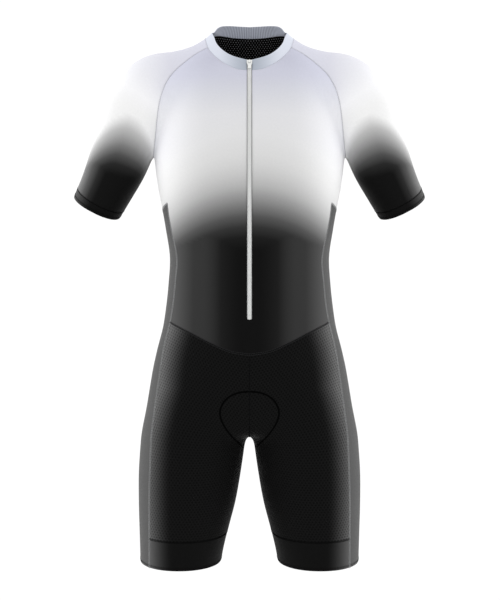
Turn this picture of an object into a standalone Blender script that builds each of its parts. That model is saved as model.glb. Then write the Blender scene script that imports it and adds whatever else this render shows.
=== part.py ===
"""Triathlon suit with raglan sleeves and a short front zip, filled out as it is worn.

The front of the suit faces -Y, the wearer's left is +X and up is +Z. The origin is between the
shoulder points of the neck seam, where the suit hangs. All sizes are in millimetres until a mesh
is made, and the meshes are in metres.
"""

import bmesh
import bpy
import numpy as np
from mathutils import Vector

MM = 0.001

# Cloth
WALL = 1.4
SEAM_GAP = 0.3
STACK_GAP = 0.3

# Zip
SLOT_WIDTH = 8.8
CHAIN_WIDTH = 7.6
CHAIN_PROUD = 0.5
TAPE_WIDTH = 24.0
TAPE_WALL = 1.0
ZIP_BOTTOM = -476.0
TAPE_BELOW = 10.0

# Zip slider and pull, in a frame that stands on the collar: X across, -Y out and Z up the zip
SLIDER_PLACE = np.array((0, -51.8, -36.5))
SLIDER_TILT = np.radians(-32.5)
SLIDER_OUTLINE = ((-4.8, 5.0), (4.8, 5.0), (4.8, 0.0), (3.8, -5.5), (-3.8, -5.5), (-4.8, 0.0))
SLIDER_LEVELS = (-2.6, -0.8)
BRIDGE_OUTLINE = ((-2.0, -2.8), (-5.5, -2.8), (-5.5, 2.8), (-2.0, 2.8),
                  (-2.0, 2.0), (-4.6, 2.0), (-4.6, -2.0), (-2.0, -2.0))
BRIDGE_WIDTH = 2.0
HINGE_OUT = 3.6
PULL_THICKNESS = 1.0
PULL_OUTLINE = ((-3.0, 0.45), (3.0, 0.45), (3.0, -15.0), (-3.0, -15.0))
WINDOW_OUTLINE = ((-1.7, -0.45), (1.7, -0.45), (1.7, -4.05), (-1.7, -4.05))

# Seat pad
PAD_THICKNESS = 4.0
PAD_BEHIND = 2.0
PAD_COLUMNS = 4
PAD_ROWS = 20

# Hems
LEG_HEM = -896.0
LEG_BAND_TOP = -845.5
LEG_HEM_TILT = 0.13
SLEEVE_BAND = 17.0

# Faces along each piece
FRONT_COLUMNS = 9
SLEEVE_COLUMNS = 8
BACK_COLUMNS = 9
SIDE_COLUMNS = 3
RAGLAN_ROWS = 9
SIDE_LINE_ROWS = 5
BODICE_ROWS = 9
FORK_ROWS = 13
INSEAM_ROWS = 8
UNDERARM_ROWS = 5
COLLAR_ROWS = 3
BAND_ROWS = 3
SHARP = np.radians(40)


def sections(columns, rows):
    """A table with one row for each section, as a dictionary of named columns."""
    return dict(zip(columns.split(), np.array(rows, float).T))


# The figure that fills the suit: every table is read by a smooth curve through its rows.
TRUNK = sections("height half_width front back power", (
    (-700, 150, 85, 95, 2.35),
    (-650, 160, 95, 108, 2.35),
    (-610, 168, 103, 115, 2.35),
    (-570, 167, 107, 113, 2.35),
    (-530, 161, 109, 105, 2.35),
    (-490, 151, 109, 95, 2.35),
    (-450, 145, 106, 89, 2.35),
    (-410, 141, 103, 86, 2.35),
    (-370, 139, 102, 88, 2.35),
    (-320, 146, 106, 95, 2.35),
    (-280, 153, 111, 101, 2.35),
    (-240, 160.5, 115, 107, 2.35),
    (-200, 164.5, 114, 111, 2.35),
    (-160, 160, 107, 111, 2.35),
    (-120, 151, 94, 106, 2.35),
    (-80, 131, 76, 96, 2.35),
    (-50, 98, 57, 84, 2.35),
    (-25, 40, 20, 60, 2.35),
))
NECK = sections("height half_width front back power", (
    (-70, 100, 63, 98, 2.1),
    (-50, 96, 58.5, 91, 2.1),
    (-20, 92, 50.5, 80, 2.1),
    (0, 85, 44, 69.5, 2.1),
    (10, 78, 40.5, 64.5, 2.1),
    (20, 68, 36.5, 58, 2.2),
    (27, 62.5, 34, 54, 2.4),
    (35, 60.5, 31.5, 51, 2.6),
    (50, 58, 26, 42, 2.8),
))
NECK_CENTRE = 8
LEG = sections("height centre half_width front back power", (
    (-930, 123, 67, 68, 70, 2.1),
    (-904, 120.5, 70, 71, 73, 2.1),
    (-880, 118.6, 72.4, 74, 76, 2.1),
    (-845, 115, 77, 79, 81, 2.1),
    (-793, 109, 84.4, 86, 88, 2.1),
    (-740, 104.2, 89, 91, 95, 2.1),
    (-705, 100.6, 90.5, 95, 101, 2.1),
    (-680, 98, 91, 97, 107, 2.1),
    (-640, 91.5, 90, 97, 110, 2.1),
    (-590, 81, 87, 93, 104, 2.1),
    (-540, 72, 80, 85, 85, 2.1),
))
ARM = sections("station x y z half_width half_depth power", (
    (0, 20, 14, -28, 36, 44, 2.1),
    (1, 70, 13, -37, 42, 48, 2.1),
    (2, 125, 10, -55, 48.5, 52, 2.1),
    (3, 162, 7, -65, 52, 56, 2.1),
    (4, 184, 5, -85, 54.5, 59, 2.3),
    (5, 200.5, 5, -112, 55, 60, 2.7),
    (6, 211, 8, -142, 54, 59, 3.0),
    (7, 220.5, 14, -172.4, 53, 56, 2.8),
    (8, 234, 25, -205.6, 51.5, 52, 2.4),
    (9, 253.2, 38, -243.5, 47.6, 49, 2.1),
    (10, 271.8, 50, -277.2, 44.8, 46, 2.1),
    (11, 290, 61, -313, 42, 44, 2.1),
))
HEM_STATION = 10
ARM_REACH = -360
CROTCH = -677
TRUNK_ROUNDING = 60
LEG_TOP = -545
LEG_ROUNDING = 40
NECK_FOOT = -55
NECK_ROUNDING = 20
CROTCH_BLEND = 14
HIP_BLEND = 30
NECK_BLEND = 44
ARMPIT_BLEND = 22
SHOULDER_BLEND = 44
ARMPIT = -185
SHOULDER = -105


def read(table, names, at):
    """Columns of a table at any height or station, by cubic curves through its rows."""
    first = next(iter(table))
    place = table[first]
    values = np.stack([table[name] for name in names.split()], axis=-1)
    step = np.diff(place)[:, None]
    slope = np.diff(values, axis=0) / step
    middle = (slope[:-1] * step[1:] + slope[1:] * step[:-1]) / (step[1:] + step[:-1])
    slope = np.vstack([slope[:1], middle, slope[-1:]])
    at = np.clip(at, place[0], place[-1])
    row = np.clip(np.searchsorted(place, at, side="right") - 1, 0, len(place) - 2)
    span = step[row]
    t = (at - place[row])[..., None] / span
    found = (
        (2 * t**3 - 3 * t**2 + 1) * values[row]
        + (t**3 - 2 * t**2 + t) * span * slope[row]
        + (3 * t**2 - 2 * t**3) * values[row + 1]
        + (t**3 - t**2) * span * slope[row + 1]
    )
    return np.moveaxis(found, -1, 0)


def joined(a, b, blend):
    """Two forms joined by a fillet: the smaller distance, rounded off over the blend."""
    overlap = np.maximum(blend - np.abs(a - b), 0) / blend
    return np.minimum(a, b) - blend * overlap**3 / 6


def cut_off(a, b, blend):
    """The part that two forms share, with a rounded edge."""
    return -joined(-a, -b, blend)


def round_section(across, deep, half_width, half_depth, power):
    """Distance from a rounded section, negative inside it."""
    radius = np.hypot(across, deep) + 1e-9
    share = (np.abs(across) / half_width) ** power + (np.abs(deep) / half_depth) ** power
    return radius - radius / (share ** (1 / power) + 1e-12)


def upright(table, points, centre_x=0, centre_y=0):
    """Distance from an upright form whose depth differs in front and behind."""
    half_width, front, back, power = read(table, "half_width front back power", points[..., 2])
    deep = points[..., 1] - centre_y
    return round_section(
        points[..., 0] - centre_x, deep, half_width, np.where(deep < 0, front, back), power
    )


def leg(points, side):
    centre = side * read(LEG, "centre", points[..., 2])[0]
    return cut_off(upright(LEG, points, centre), points[..., 2] - LEG_TOP, LEG_ROUNDING)


def arm_frame(station):
    """Centre of the arm, its direction, and the across and deep directions of its section."""
    nudge = 1e-3
    centre = np.moveaxis(read(ARM, "x y z", station), 0, -1)
    ahead = np.moveaxis(read(ARM, "x y z", station + nudge), 0, -1)
    behind = np.moveaxis(read(ARM, "x y z", station - nudge), 0, -1)
    along = ahead - behind
    along /= np.linalg.norm(along, axis=-1, keepdims=True)
    across = np.cross(along, (0, 1, 0))
    across /= np.linalg.norm(across, axis=-1, keepdims=True)
    return centre, along, across, np.cross(across, along)


def nearest_station(points):
    """The station of the arm's centre line that lies nearest to each point."""
    stations = np.linspace(0, 11, 89)
    line = np.moveaxis(read(ARM, "x y z", stations), 0, -1)
    start, step = line[:-1], np.diff(line, axis=0)
    out = points[..., None, :] - start
    share = np.clip((out * step).sum(-1) / (step**2).sum(-1), 0, 1)
    away = np.linalg.norm(out - share[..., None] * step, axis=-1)
    nearest = away.argmin(axis=-1)
    share = np.take_along_axis(share, nearest[..., None], axis=-1)[..., 0]
    return (nearest + share) * stations[1]


def arm(points):
    """Distance from both arms: the right one is the left one mirrored."""
    found = np.full(points.shape[:-1], 1e3)
    near = points[..., 2] > ARM_REACH
    found[near] = left_arm(np.abs(points[near] * (1, 0, 0)) + points[near] * (0, 1, 1))
    return found


def left_arm(points):
    station = nearest_station(points)
    centre, along, across, deep = arm_frame(station)
    half_width, half_depth, power = read(ARM, "half_width half_depth power", station)
    out = points - centre
    side = round_section(
        (out * across).sum(-1), (out * deep).sum(-1), half_width, half_depth, power
    )
    past_end = np.where((station > 0) & (station < 11), 0, np.abs((out * along).sum(-1)))
    return np.where(past_end > 0, np.hypot(np.maximum(side, 0), past_end), side)


def figure(points):
    """Distance from the whole figure, negative inside it."""
    height = points[..., 2]
    trunk = cut_off(upright(TRUNK, points), CROTCH - height, TRUNK_ROUNDING)
    legs = joined(leg(points, 1), leg(points, -1), CROTCH_BLEND)
    neck = upright(NECK, points, centre_y=NECK_CENTRE)
    neck = cut_off(neck, NECK_FOOT - height, NECK_ROUNDING)
    up = np.clip((height - ARMPIT) / (SHOULDER - ARMPIT), 0, 1)
    fold = ARMPIT_BLEND + (SHOULDER_BLEND - ARMPIT_BLEND) * up
    body = joined(joined(trunk, legs, HIP_BLEND), arm(points), fold)
    return joined(body, neck, NECK_BLEND)


def steepness(points):
    """How the distance grows along X, Y and Z."""
    nudge = 0.05 * np.eye(3)
    return np.stack([figure(points + n) - figure(points - n) for n in nudge], axis=-1) / 0.1


def outward(points):
    """Unit normals of the figure at points on it or near it."""
    direction = steepness(points)
    return direction / np.linalg.norm(direction, axis=-1, keepdims=True)


def onto_figure(points, rounds=8):
    """Points moved onto the figure the shortest way."""
    for _ in range(rounds):
        direction = steepness(points)
        distance = figure(points) / (direction**2).sum(-1)
        points = points - np.clip(distance, -20, 20)[..., None] * direction
    return points


def along_line(points, count):
    """A number of even steps along a line of points."""
    run = np.concatenate([[0], np.cumsum(np.linalg.norm(np.diff(points, axis=0), axis=1))])
    at = np.linspace(0, run[-1], count + 1)
    return np.stack([np.interp(at, run, points[:, i]) for i in range(3)], axis=-1)


def seam(rows, count):
    """A seam on the figure through the places in its rows, in even steps."""
    places = onto_figure(np.array(rows, float))
    table = dict(row=np.arange(len(places)), x=places[:, 0], y=places[:, 1], z=places[:, 2])
    fine = np.moveaxis(read(table, "x y z", np.linspace(0, len(places) - 1, 200)), 0, -1)
    line = onto_figure(along_line(onto_figure(fine), count))
    line[[0, -1]] = places[[0, -1]]
    middle = np.abs(np.array(rows)[:, 0]).max() == 0
    return line * (0, 1, 1) if middle else line


def mirrored(points):
    return points * (-1, 1, 1)


def patch(first, last, start, end):
    """A grid between two long edges, first and last, and two short ones, start and end."""
    u = np.linspace(0, 1, len(start))[None, :, None]
    v = np.linspace(0, 1, len(first))[:, None, None]
    sides = (1 - u) * first[:, None] + u * last[:, None]
    ends = (1 - v) * start[None] + v * end[None]
    corners = (1 - v) * ((1 - u) * start[0] + u * start[-1]) + v * ((1 - u) * end[0] + u * end[-1])
    return sides + ends - corners


def settle(grid, rounds=40):
    """Spreads the inner points of a grid evenly over the figure and keeps its edges."""
    grid[1:-1, 1:-1] = onto_figure(grid[1:-1, 1:-1])
    for _ in range(rounds):
        mean = (grid[:-2, 1:-1] + grid[2:, 1:-1] + grid[1:-1, :-2] + grid[1:-1, 2:]) / 4
        grid[1:-1, 1:-1] = onto_figure(mean, rounds=1)
    grid[1:-1, 1:-1] = onto_figure(grid[1:-1, 1:-1])
    return grid


def whole(half):
    """A half grid whose first column is on the middle, made whole."""
    return np.concatenate([mirrored(half)[:, :0:-1], half], axis=1)


def line_of(*parts):
    """Lines that follow one another, joined into one."""
    return np.concatenate([parts[0]] + [part[1:] for part in parts[1:]])


def strip(top, bottom, rows):
    """A grid of straight rows between two edges, on the figure."""
    share = np.linspace(0, 1, rows + 1)[:, None, None]
    grid = (1 - share) * top + share * bottom
    grid[1:-1] = onto_figure(grid[1:-1])
    return grid


def around_leg(height, start, end, count):
    """An edge around the left leg: turns run from 0 at the side, over the back, to 1 at the inseam."""
    turn = np.pi * np.linspace(start, end, 12)
    centre, half_width, front, back = read(LEG, "centre half_width front back", height)
    y = np.where(turn < 0, front, back) * np.sin(turn)
    z = height + LEG_HEM_TILT * y
    return seam(np.stack([centre + half_width * np.cos(turn), y, z], axis=-1), count)


def around_arm(station, start, end, count):
    """An edge around the left arm: turns run from 0 outside, over the back, to 1 under the arm."""
    turn = np.pi * np.linspace(start, end, count + 1)[:, None]
    centre, _, across, deep = arm_frame(station)
    half_width, half_depth = read(ARM, "half_width half_depth", station)
    return onto_figure(centre + across * half_width * np.cos(turn) + deep * half_depth * np.sin(turn))


# Seams on the wearer's left. The pieces on both sides of a seam share its points.
SIDE_PANEL_FRONT = -0.24
SIDE_PANEL_BACK = 0.25
BAND_FRONT = around_leg(LEG_BAND_TOP, -1, SIDE_PANEL_FRONT, FRONT_COLUMNS)
BAND_BACK = around_leg(LEG_BAND_TOP, SIDE_PANEL_BACK, 1, BACK_COLUMNS)
HEM_FRONT = around_leg(LEG_HEM, -1, SIDE_PANEL_FRONT, FRONT_COLUMNS)
HEM_SIDE = around_leg(LEG_HEM, SIDE_PANEL_FRONT, SIDE_PANEL_BACK, 2 * SIDE_COLUMNS)
HEM_BACK = around_leg(LEG_HEM, SIDE_PANEL_BACK, 1, BACK_COLUMNS)

NECK_FRONT = seam(((0, -62, -50.7), (21.4, -58, -47.5), (42.1, -47, -36.4), (57.7, -40, -24),
                   (67.5, -34, -13), (71.8, -28, -5.6)), FRONT_COLUMNS + SIDE_COLUMNS)
NECK_SIDE = seam(((71.8, -28, -5.6), (75.5, -12, 9), (75, 6, 17.5), (70.5, 21, 22.5), (64, 32, 25)),
                 2 * SLEEVE_COLUMNS)
NECK_BACK = seam(((64, 32, 25), (55, 43, 26.6), (43, 54, 27), (24, 65, 26.2), (0, 68, 25.6)),
                 BACK_COLUMNS + SIDE_COLUMNS)
RAGLAN_FRONT = seam(((71.8, -28, -5.6), (92.5, -30, -17), (118, -38.5, -38), (138.2, -44.6, -60),
                     (152, -45, -90), (158, -43, -118), (161.5, -36, -149), (163.5, -21.5, -175),
                     (165.3, -7, -189), (165.3, 4, -192)), RAGLAN_ROWS)
RAGLAN_BACK = seam(((64, 32, 25), (92, 54, -14), (118, 59.5, -38), (137, 60, -62),
                    (145, 54, -90), (150, 49, -118), (155, 43, -149), (161.5, 31, -174),
                    (164.8, 15, -189), (165.3, 4, -192)), RAGLAN_ROWS)
SIDE_LINE = seam(((165.3, 4, -192), (162.5, 4, -220), (157.5, 4, -252), (151, 4, -289)),
                 SIDE_LINE_ROWS)
SIDE_TOP_FRONT = seam(((151, 4, -289), (148, -32, -283), (140.5, -54, -277)), SIDE_COLUMNS)
SIDE_TOP_BACK = seam(((151, 4, -289), (148, 34, -286), (139, 58, -282)), SIDE_COLUMNS)
SIDE_FRONT_UPPER = seam(((140.5, -54, -277), (137.5, -50.5, -302), (132, -51, -331),
                         (125, -54, -366), (124.5, -54.5, -386), (127.5, -54, -414),
                         (131, -55, -451), (136, -54, -481)), BODICE_ROWS)
SIDE_FRONT_LOWER = seam(((136, -54, -481), (145, -52, -514), (154.5, -56, -571),
                         (161.5, -59, -615), (166.5, -63.5, -668), (169.5, -65, -705),
                         (171.5, -61, -777), BAND_FRONT[-1]), FORK_ROWS + INSEAM_ROWS)
SIDE_BACK_UPPER = seam(((139, 58, -282), (135, 56, -302), (129, 55, -331), (123, 54, -366),
                        (123, 54, -386), (126, 54, -414), (131, 55, -451), (137, 56, -481)),
                       BODICE_ROWS)
SIDE_BACK_LOWER = seam(((137, 56, -481), (146, 60, -514), (154, 68, -571), (161, 72, -615),
                        (166.5, 72, -668), (169.5, 70, -705), (171.5, 63, -777), BAND_BACK[0]),
                       FORK_ROWS + INSEAM_ROWS)
V_SEAM = seam(((0, -109, -535), (33, -108, -529.5), (66.5, -103, -515.5), (100.5, -89, -498.5),
               (136, -54, -481)), FRONT_COLUMNS)
BACK_WAIST = seam(((0, 95, -506), (35, 94, -502), (75, 87, -495), (112, 72, -487),
                   (137, 56, -481)), BACK_COLUMNS)
CENTRE_FRONT_UPPER = seam(((0, -62, -50.7), (0, -90, -115), (0, -113, -190), (0, -112, -245),
                           (0, -108, -290)), RAGLAN_ROWS + SIDE_LINE_ROWS)
CENTRE_FRONT_LOWER = seam(((0, -108, -290), (0, -103, -370), (0, -107, -450), (0, -109, -535)),
                          BODICE_ROWS)
CENTRE_BACK_UPPER = seam(((0, 68, 25.6), (0, 92, -30), (0, 106, -110), (0, 111, -180),
                          (0, 105, -240), (0, 99, -290)), RAGLAN_ROWS + SIDE_LINE_ROWS)
CENTRE_BACK_LOWER = seam(((0, 99, -290), (0, 88, -370), (0, 89, -450), (0, 95, -506)), BODICE_ROWS)
FRONT_RIB = seam(((0, -108, -290), (50, -104, -288), (100, -86, -283), (140.5, -54, -277)),
                 FRONT_COLUMNS)
BACK_RIB = seam(((0, 99, -290), (50, 97, -288), (100, 82, -285), (139, 58, -282)), BACK_COLUMNS)
FORK_FRONT = seam(((0, -109, -535), (0, -105, -600), (0, -95, -645), (0, -60, -673),
                   (0, 0, -679)), FORK_ROWS)
FORK_BACK = seam(((0, 95, -506), (0, 108, -560), (0, 110, -610), (0, 95, -655), (0, 60, -675),
                  (0, 0, -679)), FORK_ROWS)
COLLAR_TOP = ((0, -48.5, -31), (16, -47, -26.9), (27.7, -45, -23.1), (37, -42.5, -18.5),
              (46.4, -38, -11.6), (53.6, -33, -3.9), (58.4, -27, 4.1), (61.2, -19, 13),
              (63.5, -6, 20.5), (64.2, 8, 25), (62, 23, 30), (57.6, 33, 38), (50, 43, 43.8),
              (34.8, 53, 46.2), (17, 61, 46.6), (0, 64, 46.3))
PAD_MIDDLE = ((0, -104.5, -597), (0, -101, -625), (0, -90, -650), (0, -60, -673), (0, 0, -679),
              (0, 55, -676), (0, 90, -660), (0, 106, -630), (0, 109, -595))
PAD_EDGE = ((28, -104, -600), (43, -102, -610), (49, -98, -632), (40, -78, -662),
            (22, -42, -690), (17, 0, -703), (24, 42, -693), (44, 80, -668), (58, 97, -640),
            (52, 104, -612), (34, 107, -598))
INSEAM = seam(((0, 0, -679), (10, 0, -697), (15, 0, -740), (24.5, 0, -793), BAND_FRONT[0]),
              INSEAM_ROWS)


def torso(centre_upper, centre_lower, neck, raglan, rib, side_top, side, waist):
    """The front or the back as two grids that share the rib row, level with the side panel's top."""
    outside = line_of(raglan, SIDE_LINE)
    upper = settle(patch(centre_upper, outside, neck, line_of(rib, side_top[::-1])))
    lower = settle(patch(centre_lower, side, rib, waist))
    return whole(upper), whole(lower)


def leg_front():
    return settle(patch(line_of(FORK_FRONT, INSEAM), SIDE_FRONT_LOWER, V_SEAM, BAND_FRONT))


def leg_back():
    inside = line_of(FORK_BACK, INSEAM)
    return settle(patch(inside, SIDE_BACK_LOWER, BACK_WAIST, BAND_BACK[::-1]))


def leg_band():
    """From the front side seam, around the inside of the leg, to the back side seam."""
    top = line_of(BAND_FRONT[::-1], BAND_BACK[::-1])
    return strip(top, line_of(HEM_FRONT[::-1], HEM_BACK[::-1]), BAND_ROWS)


def side_panel(band):
    front = line_of(SIDE_FRONT_UPPER, SIDE_FRONT_LOWER, band[:, 0])
    back = line_of(SIDE_BACK_UPPER, SIDE_BACK_LOWER, band[:, -1])
    top = line_of(SIDE_TOP_FRONT[::-1], SIDE_TOP_BACK)
    return settle(patch(front, back, top, HEM_SIDE))


def arm_place(points):
    """Where points lie on the left arm: the station, and the turn from outside over the back."""
    station = nearest_station(points)
    centre, _, across, deep = arm_frame(station)
    out = points - centre
    return np.stack([station, np.arctan2((out * deep).sum(-1), (out * across).sum(-1))], axis=-1)


def on_arm(place):
    """Points on the figure at a station and turn of the left arm."""
    station, turn = place[..., 0], place[..., 1]
    centre, _, across, deep = arm_frame(station)
    half_width, half_depth, power = read(ARM, "half_width half_depth power", station)
    cosine, sine = np.cos(turn), np.sin(turn)
    share = (np.abs(cosine) / half_width) ** power + (np.abs(sine) / half_depth) ** power
    radius = (share ** (-1 / power))[..., None]
    return onto_figure(
        centre + radius * (across * cosine[..., None] + deep * sine[..., None])
    )


def sleeve(cuff_station):
    """From the band at the cuff up to the neck, closed under the arm as far as the armpit."""
    turns = np.linspace(-np.pi, np.pi, 2 * SLEEVE_COLUMNS + 1)
    cuff = on_arm(np.stack([np.full(len(turns), cuff_station), turns], axis=-1))
    armpit = arm_place(RAGLAN_FRONT[-1])
    stations = np.linspace(cuff_station, armpit[0], UNDERARM_ROWS + 1)
    underarm = np.stack([stations, np.full(len(stations), -np.pi)], axis=-1)
    line = on_arm(underarm)
    line[[0, -1]] = cuff[0], RAGLAN_FRONT[-1]
    front = line_of(line, RAGLAN_FRONT[::-1])
    back = line_of(line, RAGLAN_BACK[::-1])
    neck = arm_place(NECK_SIDE)
    front_place = np.concatenate([underarm, arm_place(RAGLAN_FRONT[-2::-1])])
    back_place = np.concatenate([underarm * (1, -1), arm_place(RAGLAN_BACK[-2::-1])])
    grid = on_arm(patch(front_place, back_place, np.stack([stations[0] + 0 * turns, turns], -1), neck))
    grid[:, 0], grid[:, -1], grid[0], grid[-1] = front, back, cuff, NECK_SIDE
    return settle(grid, rounds=3)


def collar():
    """A stand-up band around the neck, from the back of the neck round to the back again."""
    top = seam(COLLAR_TOP, 120)
    bottom = line_of(NECK_FRONT, NECK_SIDE, NECK_BACK)
    turn_top, turn_bottom = (
        np.arctan2(np.abs(line[:, 0]), NECK_CENTRE - line[:, 1]) for line in (top, bottom)
    )
    top = np.stack([np.interp(turn_bottom, turn_top, top[:, i]) for i in range(3)], axis=-1)
    return whole(strip(top, bottom, COLLAR_ROWS))


def down_to(grid, height):
    """The rows of a grid above a height, and a last row at it."""
    low = int(np.argmax(grid[:, 0, 2] < height))
    above, below = grid[low - 1], grid[low]
    share = (above[:, 2:] - height) / (above[:, 2:] - below[:, 2:])
    return np.concatenate([grid[:low], [above + share * (below - above)]])


def zip_strip(width, bottom):
    """The middle of the collar and front, narrowed to a width, down to a height."""
    pieces = (COLLAR, *FRONT)
    middle = line_of(*(grid[:, grid.shape[1] // 2] for grid in pieces))
    beside = line_of(*(grid[:, grid.shape[1] // 2 + 1] for grid in pieces))
    share = np.minimum(width / 2 / beside[:, :1], 1)
    edge = middle + share * (beside - middle)
    return down_to(np.stack([mirrored(edge), middle, edge], axis=1), bottom)


def seat_pad():
    """A saddle from the front of the crotch, under it and up behind, wider at both ends."""
    middle, edge = seam(PAD_MIDDLE, PAD_ROWS), seam(PAD_EDGE, PAD_ROWS)
    top, bottom = (
        onto_figure(along_line(np.stack([middle[end], edge[end]]), PAD_COLUMNS)) for end in (0, -1)
    )
    return whole(settle(patch(middle, edge, top, bottom), rounds=5))


# Making the pieces

def clear_scene():
    for thing in list(bpy.data.objects):
        bpy.data.objects.remove(thing, do_unlink=True)


def material(name, colour, roughness, metallic=0.0):
    found = bpy.data.materials.new(name)
    found.use_nodes = True
    shader = found.node_tree.nodes["Principled BSDF"]
    shader.inputs["Base Color"].default_value = (*colour, 1)
    shader.inputs["Roughness"].default_value = roughness
    shader.inputs["Metallic"].default_value = metallic
    return found


def add(name, mesh, finish, collection):
    """Puts a closed mesh made in millimetres into the scene as one piece."""
    bmesh.ops.recalc_face_normals(mesh, faces=mesh.faces)
    if mesh.calc_volume(signed=True) < 0:
        bmesh.ops.reverse_faces(mesh, faces=mesh.faces)
    bmesh.ops.scale(mesh, vec=(MM, MM, MM), verts=mesh.verts)
    data = bpy.data.meshes.new(name)
    mesh.to_mesh(data)
    mesh.free()
    data.materials.append(finish)
    piece = bpy.data.objects.new(name, data)
    collection.objects.link(piece)
    return piece


def open_seams(mesh):
    """Draws each free edge back by half the seam gap, in the plane of its own face."""
    steps = {}
    for edge in mesh.edges:
        if edge.is_boundary:
            start = edge.verts[0].co
            face = edge.link_faces[0]
            inward = face.normal.cross(edge.verts[1].co - start).normalized()
            if inward.dot(face.calc_center_median() - start) < 0:
                inward.negate()
            for vert in edge.verts:
                steps.setdefault(vert, []).append(inward)
    for vert, (a, b) in steps.items():
        vert.co += (a + b) * SEAM_GAP / 2 / (1 + a.dot(b))


def cloth(name, grids, finish, thickness=WALL, lift=0.0):
    """A cloth wall whose outer face follows the grids, lifted off the figure, and is sewn from them."""
    mesh = bmesh.new()
    for grid in grids:
        rows, columns = grid.shape[:2]
        points = (grid + lift * outward(grid)).reshape(-1, 3)
        corners = [mesh.verts.new(point) for point in points]
        for row in range(rows - 1):
            for first in range(row * columns, (row + 1) * columns - 1):
                around = (first, first + columns, first + columns + 1, first + 1)
                mesh.faces.new([corners[i] for i in around])
    bmesh.ops.remove_doubles(mesh, verts=mesh.verts, dist=0.01)
    mesh.normal_update()
    open_seams(mesh)
    walls = bmesh.ops.extrude_face_region(mesh, geom=mesh.faces[:], use_keep_orig=True)
    inside = [item for item in walls["geom"] if isinstance(item, bmesh.types.BMVert)]
    depth = thickness * outward(np.array([vert.co for vert in inside]))
    for vert, step in zip(inside, depth):
        vert.co -= Vector(step)
    bmesh.ops.triangulate(mesh, faces=mesh.faces, quad_method="SHORT_EDGE")
    piece = add(name, mesh, finish, SUIT)
    piece.data.shade_smooth()
    piece.data.set_sharp_from_angle(angle=SHARP)
    return piece


def prism(outline, low, high, axis):
    """A closed mesh: an outline in the plane across an axis, carried from low to high along it."""
    mesh = bmesh.new()
    face = mesh.faces.new([mesh.verts.new(np.insert(np.array(p, float), axis, low)) for p in outline])
    end = bmesh.ops.extrude_face_region(mesh, geom=[face], use_keep_orig=True)
    along = Vector(np.insert(np.zeros(2), axis, high - low))
    moved = [item for item in end["geom"] if isinstance(item, bmesh.types.BMVert)]
    bmesh.ops.translate(mesh, vec=along, verts=moved)
    return mesh


def boolean(piece, other, operation):
    """Cuts or joins another object, which stays hidden among the cutters."""
    other.hide_render = True
    other.display_type = "WIRE"
    modifier = piece.modifiers.new(operation.lower(), "BOOLEAN")
    modifier.operation = operation
    modifier.object = other


def rounded(corners, radius, steps=3):
    """An outline through corners, each one rounded by an arc of a few steps."""
    corners = np.array(corners, float)
    outline = []
    for before, corner, after in zip(np.roll(corners, 1, 0), corners, np.roll(corners, -1, 0)):
        start = corner + radius * (before - corner) / np.linalg.norm(before - corner)
        end = corner + radius * (after - corner) / np.linalg.norm(after - corner)
        for t in np.linspace(0, 1, steps + 1):
            outline.append((1 - t) ** 2 * start + 2 * t * (1 - t) * corner + t**2 * end)
    return outline


clear_scene()
SUIT = bpy.data.collections.new("triathlon_suit")
CUTTERS = bpy.data.collections.new("cutters")
bpy.context.scene.collection.children.link(SUIT)
bpy.context.scene.collection.children.link(CUTTERS)

WHITE_KNIT = material("white_knit", (0.80, 0.80, 0.83), 0.75)
COLLAR_KNIT = material("collar_knit", (0.55, 0.57, 0.64), 0.8)
BLACK_KNIT = material("black_knit", (0.010, 0.010, 0.010), 0.7)
BLACK_MESH = material("black_mesh", (0.006, 0.006, 0.006), 0.75)
GREY_KNIT = material("grey_knit", (0.10, 0.10, 0.10), 0.6)
BLACK_BAND = material("black_band", (0.008, 0.008, 0.008), 0.6)
ZIP_TAPE = material("zip_tape", (0.52, 0.53, 0.53), 0.7)
ZIP_PLASTIC = material("zip_plastic", (0.60, 0.61, 0.60), 0.4)
ZIP_METAL = material("zip_metal", (0.62, 0.65, 0.62), 0.35, 0.6)
PAD_FOAM = material("pad_foam", (0.02, 0.02, 0.02), 0.9)

# Front, back and collar
FRONT = torso(CENTRE_FRONT_UPPER, CENTRE_FRONT_LOWER, NECK_FRONT, RAGLAN_FRONT, FRONT_RIB,
              SIDE_TOP_FRONT, SIDE_FRONT_UPPER, V_SEAM)
BACK = torso(CENTRE_BACK_UPPER, CENTRE_BACK_LOWER, NECK_BACK[::-1], RAGLAN_BACK, BACK_RIB,
             SIDE_TOP_BACK, SIDE_BACK_UPPER, BACK_WAIST)
COLLAR = collar()
slot = add("zip_slot", prism(((-140, ZIP_BOTTOM), (0, ZIP_BOTTOM), (0, 20), (-140, 20)),
                             -SLOT_WIDTH / 2, SLOT_WIDTH / 2, axis=0), ZIP_TAPE, CUTTERS)
boolean(cloth("front", FRONT, WHITE_KNIT), slot, "DIFFERENCE")
boolean(cloth("collar", [COLLAR], COLLAR_KNIT), slot, "DIFFERENCE")
cloth("back", BACK, BLACK_MESH)

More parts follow.
